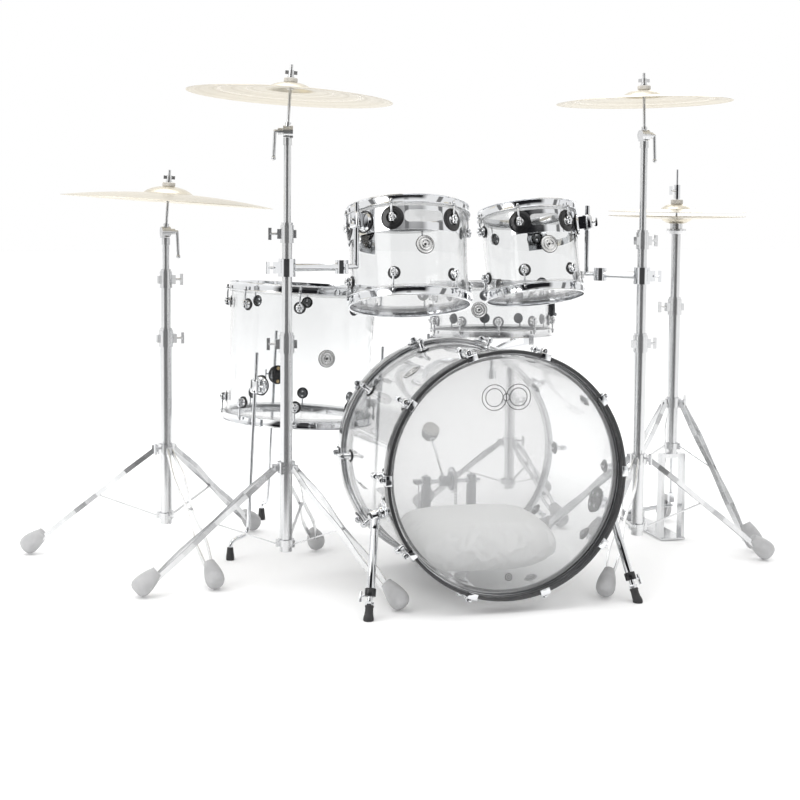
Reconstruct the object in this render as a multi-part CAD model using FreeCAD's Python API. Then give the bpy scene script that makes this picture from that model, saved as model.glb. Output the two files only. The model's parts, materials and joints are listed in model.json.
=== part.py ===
"""Acoustic drum kit with clear shells: five drums, five stands, five cymbals and two pedals.

Frame: +X to the audience's right, +Y from the audience to the drummer, +Z up, millimetres.
While it is laid out, the front face of the bass drum stands at Y = 0 and its axis is in the
plane X = 0.  At the end everything is moved so that the origin is under the middle of the kit.
"""
import FreeCAD, Part
import math
import os

V = FreeCAD.Vector
Turn = FreeCAD.Rotation
INCH = 25.4

# ---- drums: shell diameter and shell depth ----
BASS_DIAMETER = 22 * INCH
BASS_DEPTH = 18 * INCH
FLOOR_DIAMETER = 16 * INCH
FLOOR_DEPTH = 14 * INCH
TOM_LEFT_DIAMETER = 12 * INCH
TOM_LEFT_DEPTH = 9 * INCH
TOM_RIGHT_DIAMETER = 10 * INCH
TOM_RIGHT_DEPTH = 8.5 * INCH
SNARE_DIAMETER = 14 * INCH
SNARE_DEPTH = 5.5 * INCH
SHELL_WALL = 6.0

# ---- where the drums stand: centre, lean to the right, lean towards the drummer ----
BASS_CENTRE = (0.0, 254.8, 312.8)
BASS_FRONT_RAISED = 2.0
FLOOR_CENTRE = (-324.0, 846.0, 529.0)
FLOOR_LEAN = (3.0, 1.5)
TOM_LEFT_CENTRE = (-120.0, 462.0, 813.0)
TOM_LEFT_LEAN = (2.0, 15.0)
TOM_RIGHT_CENTRE = (244.0, 533.0, 819.0)
TOM_RIGHT_LEAN = (-1.6, 14.0)
SNARE_CENTRE = (317.0, 1078.0, 628.0)
SNARE_LEAN = (0.0, 3.0)

# ---- lugs: how many, and where the first one is ----
BASS_LUGS = 10
BASS_FIRST_LUG = 18.0
FLOOR_LUGS = 8
FLOOR_FIRST_LUG = -104.6
TOM_LUGS = 6
TOM_FIRST_LUG = 0.0
SNARE_LUGS = 10
SNARE_FIRST_LUG = -102.0
BADGE_RADIUS = 22.5

# ---- bass drum hoops and claws ----
WOOD_HOOP_RADIUS = 295.0
WOOD_HOOP_WALL = 8.0
WOOD_HOOP_WIDTH = 38.0
BASS_ROD_REACH = 25.0
BASS_LUG_INSET = 60.0

# ---- flanged hoops, tension rods and lugs of the other drums ----
ROD_REACH = 12.0
ROD_RADIUS = 2.8
LUG_INSET = 44.0
SNARE_LUG_INSET = 34.0
HOOP_STEP = 8.0
HOOP_RISE = 15.0
HOOP_FLANGE = 17.0

# ---- cymbals: radius, height of the bow with the bell ----
RIDE_RADIUS = 11 * INCH
CRASH_MIDDLE_RADIUS = 10 * INCH
CRASH_RIGHT_RADIUS = 9 * INCH
HIHAT_RADIUS = 7.5 * INCH
CYMBAL_THICKNESS = 1.4
CYMBAL_HOLE = 7.0
HIHAT_OPENING = 12.0

# ---- stands: place on the floor, reach of the legs, direction of the first leg ----
STAND_LEFT = dict(at=(-718.0, 716.0), reach=362.0, first=162.1, top=292.0, low=112.0)
STAND_MIDDLE = dict(at=(-460.0, 361.0), reach=352.0, first=185.9, top=296.0, low=106.0)
STAND_RIGHT = dict(at=(488.0, 355.0), reach=350.0, first=-126.1, top=282.0, low=100.0)
STAND_HIHAT = dict(at=(704.0, 604.0), reach=235.0, first=-51.0, top=392.0, low=268.0)
STAND_SNARE = dict(at=(377.0, 1063.0), reach=262.0, first=-75.0, top=214.0, low=92.0)

LOWER_TUBE = 15.6
LOWER_BORE = 13.2
MIDDLE_TUBE = 12.6
MIDDLE_BORE = 9.6
UPPER_TUBE = 9.0
UPPER_BORE = 7.2
TUBE_GAP = 0.4
STRAP_WIDTH = 13.0
STRAP_THICKNESS = 3.0
STRAP_APART = 6.6
STRAP_BOW = 8.0
STRAP_STEPS = 6

# ---- heights of the tube joints, tilters and cymbals of the three cymbal stands ----
RIDE_STAND = dict(joint_low=588.0, joint_high=745.0, tilter=872.0, post=120.0, lean=(3.7, 0.6))
MIDDLE_STAND = dict(joint_low=604.0, joint_high=877.0, tilter=1129.0, post=120.0, lean=(3.6, 1.0))
RIGHT_STAND = dict(joint_low=588.0, joint_high=860.0, tilter=1136.0, post=118.0, lean=(-1.2, 1.0))
UPPER_TUBE_INSIDE = 170.0
ARM_HEIGHT_LEFT = 794.0
ARM_HEIGHT_RIGHT = 768.0
TOM_LEFT_MOUNT = -150.0
TOM_RIGHT_MOUNT = -30.0
TOM_ROD_RUN = 40.0
TOM_BALL = 11.8

# ---- kick pedal ----
PEDAL_AXLE = (560.0, 205.0)
PEDAL_ASIDE = 26.0
BEATER_LENGTH = 175.0
BEATER_REST = 50.0
PEDAL_HEEL = (840.0, 26.0)
PEDAL_TOE = (540.0, 117.5)
SPROCKET_RADIUS = 34.0
BEATER_X = -14.0

# ---- spurs of the bass drum ----
SPUR_ANGLE = 108.0
SPUR_FORWARD = 150.0
SPUR_FOOT = (335.0, 7.5)
SPUR_TUBE_RADIUS = 9.5
SPUR_TUBE_BORE = 6.7
SPUR_LEG_RADIUS = 6.3
SPUR_FOOT_HEIGHT = 30.0
SPUR_LOCK_AT = 0.74

# ---- floor tom legs: from the shell, direction of each, top of each, turn of each foot ----
FLOOR_LEG_REACH = 26.0
FLOOR_LEG_RADIUS = 5.2
FLOOR_LEG_BEND = 55.0
FLOOR_LEG_ANGLES = (-133.0, -13.0, 98.0)
FLOOR_LEG_TOPS = (8.0, 28.0, 46.0)
FLOOR_LEG_TWISTS = (-25.0, 80.0, 0.0)
FLOOR_BRACKET_HEIGHT = -82.0

# ---- rack tom mounts ----
MOUNT_BAND_GAP = 2.8
MOUNT_BAND_WALL = 2.5
MOUNT_BAND_TOP = 15.0
MOUNT_BAND_HEIGHT = 61.0
MOUNT_GRIP_REACH = 32.0
TOM_ROD_RADIUS = 6.3

# ---- hi-hat: heights, heel and toe of the footboard ----
HIHAT_SEAT = 903.0
HIHAT_JOINT = 664.0
HIHAT_HEEL = (262.0, 24.0)
HIHAT_TOE = (26.0, 92.0)
HIHAT_ROD_TOP = 1052.0
HIHAT_ROD_RADIUS = 3.2

# ---- snare stand, its basket and the strainer ----
SNARE_JOINT = 338.0
SNARE_TILTER = 470.0
SNARE_TILTER_OFFSET = 6.0
SNARE_ARMS = (48.0, 168.0, 288.0)
SNARE_STRAINER_ANGLE = -12.0

nodes = {}


# =====================================================================================
# small tools
# =====================================================================================

def keep(name, *solids):
    """Put solids into the named sub-part."""
    nodes.setdefault(name, []).extend(solids)


def rod(start, end, radius):
    """A round bar between two points."""
    start = V(*start)
    axis = V(*end) - start
    return Part.makeCylinder(radius, axis.Length, start, axis)


def pipe(start, end, radius, bore):
    """A round tube between two points."""
    return rod(start, end, radius).cut(rod(start, end, bore))


def ball(centre, radius):
    """A sphere round a point."""
    return Part.makeSphere(radius, V(*centre))


def block(low, high):
    """A box between two corners."""
    low = V(*low)
    size = V(*high) - low
    return Part.makeBox(size.x, size.y, size.z, low)


def lathe(points):
    """A solid turned about Z from (radius, height) corners."""
    corners = [V(radius, 0, height) for radius, height in points]
    face = Part.Face(Part.makePolygon(corners + corners[:1]))
    return face.revolve(V(0, 0, 0), V(0, 0, 1), 360)


def strap(start, end, width, thickness, side):
    """A flat bar between two points, its width along the side direction."""
    start = V(*start)
    along = V(*end) - start
    bar = Part.makeBox(along.Length, width, thickness, V(0, -width / 2, -thickness / 2))
    bar.Placement = FreeCAD.Placement(start, Turn(along, V(*side), V(0, 0, 1), "XYZ"))
    return bar


def joined(*solids):
    """One solid out of several that meet."""
    return solids[0].fuse(list(solids[1:]))


def moved(shape, placement):
    """A copy of the shape taken along by a placement."""
    copy = shape.copy()
    copy.Placement = placement.multiply(copy.Placement)
    return copy


def turned(shape, degrees):
    """A copy turned about Z."""
    return moved(shape, FreeCAD.Placement(V(0, 0, 0), Turn(V(0, 0, 1), degrees)))


def shifted(shape, x, y, z):
    """A copy moved without turning."""
    return moved(shape, FreeCAD.Placement(V(x, y, z), Turn()))


def flipped(shape):
    """The mirror image across the plane Z = 0."""
    return shape.mirror(V(0, 0, 0), V(0, 0, 1))


def place(centre, lean):
    """Stands a local frame at a centre, leaning right and towards the drummer."""
    right, back = lean
    return FreeCAD.Placement(V(*centre), Turn(V(0, 1, 0), right).multiply(Turn(V(1, 0, 0), -back)))


def on_floor(x, y, z=0.0):
    """A placement without any turn."""
    return FreeCAD.Placement(V(x, y, z), Turn())


def polar(radius, degrees, height=0.0):
    """A point at a radius, a direction and a height."""
    angle = math.radians(degrees)
    return (radius * math.cos(angle), radius * math.sin(angle), height)


def spread(count, first):
    """Directions of evenly spaced things round a circle."""
    return [first + 360.0 / count * index for index in range(count)]


# =====================================================================================
# drums, each built about its own axis with the middle of the shell at the origin
# =====================================================================================

def shell(radius, half):
    """A clear shell."""
    inner = radius - SHELL_WALL
    return lathe([(inner, -half), (radius, -half), (radius, half), (inner, half)])


def head(radius, half, ring_top, ring_radius):
    """A drum head: film over the bearing edge, with its collar and flesh hoop."""
    inside = radius + 0.6
    outside = radius + 1.4
    return lathe([
        (0, half), (inside, half), (inside, ring_top - 6), (ring_radius, ring_top - 6),
        (ring_radius, ring_top), (outside, ring_top), (outside, half + 0.6), (0, half + 0.6),
    ])


def flanged_hoop(radius, half, angles):
    """A triple-flanged steel hoop with holes for the tension rods."""
    low = half - HOOP_STEP
    top = half + HOOP_RISE
    hoop = lathe([
        (radius + 2.2, low), (radius + HOOP_FLANGE, low), (radius + HOOP_FLANGE, low + 2.5),
        (radius + 4.7, low + 2.5), (radius + 4.7, top - 2.5), (radius + 9, top - 2.5),
        (radius + 9, top), (radius + 2.2, top),
    ])
    hole = rod((radius + ROD_REACH, 0, low - 2), (radius + ROD_REACH, 0, low + 5), ROD_RADIUS + 0.6)
    return hoop.cut([turned(hole, angle) for angle in angles])


def turret_lug(radius, reach, height, opens_up):
    """A round lug on a gasket, with a cross barrel that takes a tension rod."""
    away = 1 if opens_up else -1
    gasket = rod((radius + 0.1, 0, height), (radius + 2.1, 0, height), 16)
    foot = rod((radius + 2.1, 0, height), (radius + 5, 0, height), 13.5)
    neck = rod((radius + 4.5, 0, height), (radius + reach, 0, height), 6.2)
    barrel = rod((radius + reach, 0, height - 11), (radius + reach, 0, height + 11), 6.9)
    lug = joined(foot, neck, barrel)
    mouth = height + 12 * away
    bore = rod((radius + reach, 0, mouth), (radius + reach, 0, mouth - 17 * away), ROD_RADIUS + 0.2)
    return [gasket, lug.cut(bore)]


def tension_rod(radius, reach, flange_top, lug_height):
    """A tension rod with its washer and key head, pulling the hoop down to a lug."""
    x = radius + reach
    shank = rod((x, 0, lug_height - 2), (x, 0, flange_top + 2), ROD_RADIUS)
    washer = rod((x, 0, flange_top), (x, 0, flange_top + 1.4), 4.6)
    key = rod((x, 0, flange_top + 1.4), (x, 0, flange_top + 9), 3.9)
    return joined(shank, washer, key)


def badge(radius, height):
    """A round vent badge on the shell, facing out."""
    plate = rod((radius + 1.0, 0, height), (radius + 2.4, 0, height), BADGE_RADIUS)
    grommet = rod((radius + 0.1, 0, height), (radius + 1.0, 0, height), 8)
    return joined(plate, grommet)


def flanged_drum(name, diameter, depth, lug_count, first_lug, inset, badge_angle, placement):
    """Shell, heads, hoops and hardware of a drum with steel hoops."""
    radius = diameter / 2
    half = depth / 2
    angles = spread(lug_count, first_lug)
    top_head = head(radius, half, half - HOOP_STEP, radius + 5.6)
    top_hoop = flanged_hoop(radius, half, angles)
    flange_top = half - HOOP_STEP + 2.5
    height = half - inset
    pull = tension_rod(radius, ROD_REACH, flange_top, height)
    lug = turret_lug(radius, ROD_REACH, height, True)
    keep(name + "_shell", moved(shell(radius, half), placement))
    for side in (lambda shape: shape, flipped):
        keep(name + "_heads", moved(side(top_head), placement))
        keep(name + "_hoops", moved(side(top_hoop), placement))
        for angle in angles:
            for piece in lug + [pull]:
                keep(name + "_lugs", moved(turned(side(piece), angle), placement))
    keep(name + "_lugs", moved(turned(badge(radius, 0), badge_angle), placement))


# =====================================================================================
# bass drum
# =====================================================================================

def bass_frame():
    """The bass drum's frame: its own +Z is the front, its own +Y is up."""
    return FreeCAD.Placement(V(*BASS_CENTRE), Turn(V(1, 0, 0), 90 - BASS_FRONT_RAISED))


def claw(half):
    """A claw hook over the wood hoop, with its tension rod."""
    low = half - 10
    face = low + WOOD_HOOP_WIDTH
    outside = WOOD_HOOP_RADIUS + 0.4
    axis = BASS_DIAMETER / 2 + BASS_ROD_REACH
    plate = block((outside, -13, low + 8), (outside + 3.6, 13, face + 3))
    lip = block((WOOD_HOOP_RADIUS - 10, -13, face + 0.4), (outside + 3.6, 13, face + 3))
    boss = rod((axis, 0, low + 8), (axis, 0, low + 24), 7.5)
    hook = joined(plate, lip, boss).cut(rod((axis, 0, low), (axis, 0, face), ROD_RADIUS + 0.8))
    shank = rod((axis, 0, half - BASS_LUG_INSET - 2), (axis, 0, low + 25), ROD_RADIUS)
    key = rod((axis, 0, low + 24), (axis, 0, low + 34), 5.2)
    return [hook, joined(shank, key)]


def bass_drum():
    """Shell, heads, wood hoops, lugs and claws of the bass drum."""
    radius = BASS_DIAMETER / 2
    half = BASS_DEPTH / 2
    frame = bass_frame()
    low = half - 10
    inner = WOOD_HOOP_RADIUS - WOOD_HOOP_WALL
    hoop = lathe([
        (inner, low), (WOOD_HOOP_RADIUS, low),
        (WOOD_HOOP_RADIUS, low + WOOD_HOOP_WIDTH), (inner, low + WOOD_HOOP_WIDTH),
    ])
    skin = head(radius, half, low, inner + 3)
    lug = turret_lug(radius, BASS_ROD_REACH, half - BASS_LUG_INSET, True)
    hook = claw(half)
    angles = [90 + angle for angle in spread(BASS_LUGS, BASS_FIRST_LUG)]
    keep("bass_drum_shell", moved(shell(radius, half), frame))
    for side in (lambda shape: shape, flipped):
        keep("bass_drum_heads", moved(side(skin), frame))
        keep("bass_drum_hoops", moved(side(hoop), frame))
        for angle in angles:
            for piece in lug:
                keep("bass_drum_fittings", moved(turned(side(piece), angle), frame))
            for piece in hook:
                keep("bass_drum_claws", moved(turned(side(piece), angle), frame))
    keep("bass_drum_fittings", moved(turned(badge(radius, 0), 90 + 36), frame))


def spur_pivot(side, out):
    """A point on the spur's swing axis, at a distance from the shell, in the kit's frame."""
    angle = 90 - side * SPUR_ANGLE
    radius = BASS_DIAMETER / 2 + out
    return bass_frame().multVec(V(*polar(radius, angle, SPUR_FORWARD)))


def spur(side, name):
    """One folding spur: bracket on the shell, swinging tube and sliding leg with a rubber foot."""
    frame = bass_frame()
    angle = 90 - side * SPUR_ANGLE
    radius = BASS_DIAMETER / 2
    plate = rod((radius + 0.1, 0, SPUR_FORWARD), (radius + 4, 0, SPUR_FORWARD), 25)
    drum_side = rod((radius + 4, 0, SPUR_FORWARD), (radius + 21, 0, SPUR_FORWARD), 15)
    bolt = rod((radius + 21, 0, SPUR_FORWARD), (radius + 46, 0, SPUR_FORWARD), 4)
    bracket = joined(plate, drum_side, bolt)
    keep("bass_drum_fittings", moved(turned(bracket, angle), frame))

    pivot = spur_pivot(side, 32)
    axis = (spur_pivot(side, 60) - pivot).normalize()
    foot = V(side * SPUR_FOOT[0], SPUR_FOOT[1], 0)
    down = (foot - pivot).normalize()
    length = (foot - pivot).Length
    start = pivot + down * 3
    lock = pivot + down * length * SPUR_LOCK_AT
    knuckle = rod(pivot - axis * 10.5, pivot + axis * 10.5, 13.5)
    nut = rod(pivot + axis * 10.4, pivot + axis * 13.4, 8.5)
    tube = rod(start, lock, SPUR_TUBE_RADIUS)
    collar = rod(lock - down * 6, lock + down * 8, 13)
    screw = rod(lock + axis * 10, lock + axis * 24, 3)
    wing = strap(lock + axis * 24 - down * 11, lock + axis * 24 + down * 11, 6, 3, (0, 1, 0))
    swing = joined(knuckle, nut, tube, collar, screw, wing)
    swing = swing.cut(rod(pivot - axis * 30, pivot + axis * 30, 4.4))
    swing = swing.cut(rod(start + down * 24, lock + down * 20, SPUR_TUBE_BORE))
    keep("spur_tube_" + name, swing)

    rubber_top = foot - down * (SPUR_FOOT_HEIGHT + 6)
    leg = rod(start + down * 90, rubber_top + down * 8, SPUR_LEG_RADIUS)
    sole = rod((foot.x, foot.y, 0), (foot.x, foot.y, 12), 12)
    boot = rod(rubber_top, foot - down * 8, 9.5)
    keep("spur_leg_" + name, joined(leg, sole, boot))


def pillow():
    """A pillow that fills the lower part of the bass drum."""
    wide, deep, tall = 400.0, 330.0, 124.0
    body = block((-wide / 2, -deep / 2, -tall / 2), (wide / 2, deep / 2, tall / 2))
    body = body.makeFillet(54, body.Edges)
    limit = rod((0, -300, 0), (0, 300, 0), BASS_DIAMETER / 2 - SHELL_WALL - 5)
    low = BASS_CENTRE[2] - BASS_DIAMETER / 2 + SHELL_WALL + 5 + tall / 2
    body = shifted(body, 0, BASS_CENTRE[1], low + 14)
    return body.common(moved(limit, on_floor(0, BASS_CENTRE[1], BASS_CENTRE[2])))


# =====================================================================================
# kick pedal
# =====================================================================================

def aside(shape):
    """Shift a pedal piece to where the pedal grips the bass drum hoop."""
    return shifted(shape, PEDAL_ASIDE, 0, 0)


def kick_pedal():
    """Frame, footboard and beater shaft of the bass drum pedal."""
    axle_y, axle_z = PEDAL_AXLE
    heel_y, heel_z = PEDAL_HEEL
    toe_y, toe_z = PEDAL_TOE
    plate = block((-38, 470, 0), (38, heel_y + 64, 5))
    front = block((-76, axle_y - 18, 0), (76, axle_y + 18, 12))
    posts = [block((low, axle_y - 11, 10), (low + 24, axle_y + 11, axle_z + 16)) for low in (-76, 52)]
    heel_plate = block((-36, heel_y + 9, 4), (36, heel_y + 64, 20))
    ears = [block((low, heel_y - 8, 4), (low + 6, heel_y + 12, heel_z + 8)) for low in (-37.5, 31.5)]
    jaw = block((-38, 477, 18.6), (-12, axle_y - 10, 25))
    jaw_post = block((-38, 516, 4), (-12, axle_y - 10, 25))
    frame = joined(plate, front, heel_plate, jaw, jaw_post, *posts, *ears)
    frame = frame.cut(rod((-90, axle_y, axle_z), (90, axle_y, axle_z), 6.4))
    spring = rod((-84, axle_y + 3, 60), (-84, axle_y + 3, 150), 7)
    anchor = block((-92, axle_y - 6, 44), (-76, axle_y + 12, 60))
    keep("kick_pedal_frame", aside(joined(frame, anchor)), aside(spring))

    slope = V(0, toe_y - heel_y, toe_z - heel_z).normalize()
    lift = V(0, slope.z, -slope.y)
    near = V(0, heel_y, heel_z)
    half_heel, half_toe = 30.0, 42.0
    corners = [near + V(-half_heel, 0, 0), near + V(half_heel, 0, 0)]
    tip = V(0, toe_y, toe_z)
    corners += [tip + V(half_toe, 0, 0), tip - slope * -22, tip + V(-half_toe, 0, 0)]
    face = Part.Face(Part.makePolygon(corners + corners[:1]))
    board = shifted(face.extrude(lift * 6), 0, -lift.y * 3, -lift.z * 3)
    knuckle = rod((-31, heel_y, heel_z), (31, heel_y, heel_z), 6)
    link_y = axle_y - SPROCKET_RADIUS - 2
    link = block((2, link_y - 3, toe_z - 2), (16, link_y + 3, toe_z + 28))
    keep("kick_pedal_footboard", aside(joined(board, knuckle, link)))

    axle = rod((-98, axle_y, axle_z), (88, axle_y, axle_z), 6)
    sprocket = rod((2, axle_y, axle_z), (16, axle_y, axle_z), SPROCKET_RADIUS)
    hub = rod((BEATER_X - 12, axle_y, axle_z), (2.5, axle_y, axle_z), 14)
    back = math.radians(BEATER_REST)
    arm = V(0, math.sin(back), math.cos(back))
    strike = V(0, -math.cos(back), math.sin(back))
    root = V(BEATER_X, axle_y, axle_z)
    stick = rod(root + arm * 8, root + arm * (BEATER_LENGTH + 16), 3.6)
    centre = root + arm * BEATER_LENGTH
    beater = rod(centre - strike * 20, centre + strike * 20, 24)
    beater = beater.makeFillet(7, beater.Edges)
    crank = block((-98, axle_y - 8, axle_z - 6), (-78, axle_y + 14, axle_z + 6))
    keep("kick_pedal_shaft", aside(joined(axle, sprocket, hub, stick, beater, crank)))


# =====================================================================================
# floor tom legs
# =====================================================================================

def floor_tom_legs():
    """Brackets on the shell and three sliding legs with a bent foot."""
    frame = place(FLOOR_CENTRE, FLOOR_LEAN)
    radius = FLOOR_DIAMETER / 2
    reach = radius + FLOOR_LEG_REACH
    z = FLOOR_BRACKET_HEIGHT
    plate = rod((radius + 0.1, 0, z), (radius + 3, 0, z), 22)
    body = block((radius + 2.5, -11, z - 18), (reach + 11, 11, z + 18))
    screw = rod((reach, 10, z), (reach, 26, z), 4)
    wing = strap((reach, 26, z - 13), (reach, 26, z + 13), 7, 4, (1, 0, 0))
    hole = rod((reach, 0, z - 30), (reach, 0, z + 30), FLOOR_LEG_RADIUS + 0.3)
    bracket = joined(plate, body, screw, wing).cut(hole)
    legs = zip(FLOOR_LEG_ANGLES, FLOOR_LEG_TOPS, FLOOR_LEG_TWISTS)
    for index, (angle, top, twist) in enumerate(legs, 1):
        keep("floor_tom_brackets", moved(turned(bracket, angle), frame))
        rod_top = frame.multVec(V(*polar(reach, angle, top)))
        deep = frame.multVec(V(*polar(reach, angle, top - 100)))
        down = (deep - rod_top).normalize()
        knee_low = rod_top + down * ((62.0 - rod_top.z) / down.z)
        out = V(*polar(FLOOR_LEG_BEND, angle + twist))
        ankle = knee_low + out + V(0, 0, -11)
        sole = V(ankle.x, ankle.y, 11)
        shaft = rod(rod_top, knee_low, FLOOR_LEG_RADIUS)
        bend = rod(knee_low, ankle, FLOOR_LEG_RADIUS)
        drop = rod(ankle, sole, FLOOR_LEG_RADIUS)
        turns = [ball(knee_low, FLOOR_LEG_RADIUS), ball(ankle, FLOOR_LEG_RADIUS)]
        boot = rod((ankle.x, ankle.y, 0), (ankle.x, ankle.y, 34), 11)
        boot = boot.makeFillet(3, boot.Edges)
        keep("floor_tom_leg_%d" % index, joined(shaft, bend, drop, boot, *turns))


# =====================================================================================
# stands
# =====================================================================================

def bowed_strap(corners, side):
    """A flat strap through (x, height) corners that bows out to one side between them."""
    points = []
    for start, end in zip(corners, corners[1:]):
        for step in range(STRAP_STEPS):
            share = step / STRAP_STEPS
            bow = math.sin(math.pi * share) ** 2
            x = start[0] + (end[0] - start[0]) * share
            z = start[1] + (end[1] - start[1]) * share + 2 * bow
            points.append(V(x, side * (STRAP_APART + STRAP_BOW * bow), z))
    points.append(V(corners[-1][0], side * STRAP_APART, corners[-1][1]))
    thick = V(0, STRAP_THICKNESS / 2, 0)
    sections = []
    for index, point in enumerate(points):
        along = points[min(index + 1, len(points) - 1)] - points[max(index - 1, 0)]
        across = V(-along.z, 0, along.x).normalize() * (STRAP_WIDTH / 2)
        ring = [point + across + thick, point + across - thick]
        ring += [point - across - thick, point - across + thick]
        sections.append(Part.makePolygon(ring + ring[:1]))
    return Part.makeLoft(sections, True, True)


def tripod_leg(top, low, reach, tube):
    """One leg along +X: two straps that bow apart twice, and a brace with its rivet."""
    hip = (tube + 12.0, top - 1)
    waist = (tube + 17.0 + (reach - tube - 17.0) * 0.47, top - 4 - (top - 40) * 0.49)
    ankle = (reach - 6.0, 27.0)
    straps = [bowed_strap([hip, waist, ankle], side) for side in (-1, 1)]
    brace_start = (tube + 12.0, 0, low)
    brace_end = (waist[0], 0, waist[1])
    brace = strap(brace_start, brace_end, 7.0, STRAP_THICKNESS, (0, 1, 0))
    rivet = rod((waist[0], -4.8, waist[1]), (waist[0], 4.8, waist[1]), 4)
    return straps + [joined(brace, rivet)]


def rubber_foot(reach):
    """A heavy rubber foot on the end of a leg along +X, flat where it meets the floor."""
    heel = V(reach - 24, 0, 52)
    slope = V(26, 0, -34).normalize()
    boot = joined(rod(heel, heel + slope * 30, 15), rod(heel + slope * 22, heel + slope * 52, 21))
    under = block((reach - 120, -60, -60), (reach + 80, 60, 0))
    slot = block((reach - 90, -12.6, 22), (reach + 6, 12.6, 90))
    pad = rod((reach + 2, 0, 0), (reach + 2, 0, 14), 20)
    return joined(boot.cut(under), pad).cut(slot)


def collar_ring(radius, low, high, thickness, ears, first, ear_reach):
    """A cast collar round a tube, with an ear for each leg."""
    ring = pipe((0, 0, low), (0, 0, high), radius + thickness, radius + 0.15)
    middle = (low + high) / 2
    start = radius + thickness - 3
    for angle in spread(ears, first):
        ear = block((start, -4.4, middle - 9), (ear_reach, 4.4, middle + 9))
        ring = ring.fuse(turned(ear, angle))
    return ring


def wing_bolt(radius, height, angle, size=1.0):
    """A clamping bolt with a wing, sticking out of a tube joint."""
    shank = rod((radius, 0, height), (radius + 20 * size, 0, height), 3.2)
    wing = strap(
        (radius + 20 * size, 0, height - 15 * size), (radius + 20 * size, 0, height + 15 * size),
        8, 5, (1, 0, 0),
    )
    return turned(joined(shank, wing), angle)


def tube_joint(bore, outer, height, angle):
    """A cast tube joint with a wing bolt and a memory lock resting on it."""
    body = pipe((0, 0, height - 22), (0, 0, height + 22), outer + 4, bore)
    lip = pipe((0, 0, height + 21), (0, 0, height + 28), outer + 1.5, bore)
    boss = block((outer + 1, -8, height - 12), (outer + 12, 8, height + 12))
    back = block((-outer - 10, -7, height - 10), (-outer - 1, 7, height + 10))
    hollow = rod((0, 0, height - 30), (0, 0, height + 40), bore)
    bolt = wing_bolt(outer + 10, height, 0)
    whole = joined(body, lip, boss, back, bolt).cut(hollow)
    return turned(whole, angle)


def tripod(name, spec, tube, tube_top, bore):
    """Tripod, centre tube and rubber feet of a stand."""
    x, y = spec["at"]
    here = on_floor(x, y)
    angles = spread(3, spec["first"])
    top, low = spec["top"], spec["low"]
    centre_tube = pipe((0, 0, low - 22), (0, 0, tube_top), tube, bore)
    upper = collar_ring(tube, top - 14, top + 14, 7, 3, spec["first"], tube + 22)
    lower = collar_ring(tube, low - 8, low + 8, 5, 3, spec["first"], tube + 10.5)
    clamp = wing_bolt(tube + 6, top + 4, spec["first"] + 60)
    for piece in (centre_tube, joined(upper, clamp), lower):
        keep(name, moved(piece, here))
    for angle in angles:
        for piece in tripod_leg(top, low, spec["reach"], tube):
            keep(name, moved(turned(piece, angle), here))
        keep("stand_feet", moved(turned(rubber_foot(spec["reach"]), angle), here))


def cymbal(radius, bell, bell_height, bow, flat=19.0):
    """A thin turned cymbal, its hub at the origin and its edge below."""
    drop = bell_height + bow

    def contour(offset):
        return [
            V(CYMBAL_HOLE, 0, offset), V(flat, 0, offset),
            V(bell * 0.72, 0, -bell_height * 0.36 + offset), V(bell, 0, -bell_height + offset),
            V(radius * 0.62, 0, -bell_height - bow * 0.33 + offset), V(radius, 0, -drop + offset),
        ]

    def run(points):
        return [
            Part.makeLine(points[0], points[1]),
            Part.Arc(points[1], points[2], points[3]).toShape(),
            Part.Arc(points[3], points[4], points[5]).toShape(),
        ]

    upper = contour(0)
    lower = contour(-CYMBAL_THICKNESS)
    ends = [Part.makeLine(upper[0], lower[0]), Part.makeLine(upper[-1], lower[-1])]
    wire = Part.Wire(Part.__sortEdges__(run(upper) + run(lower) + ends))
    return Part.Face(wire).revolve(V(0, 0, 0), V(0, 0, 1), 360)


def felt(low, high, radius):
    """A felt washer round the cymbal post."""
    return pipe((0, 0, low), (0, 0, high), radius, CYMBAL_HOLE)


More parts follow.
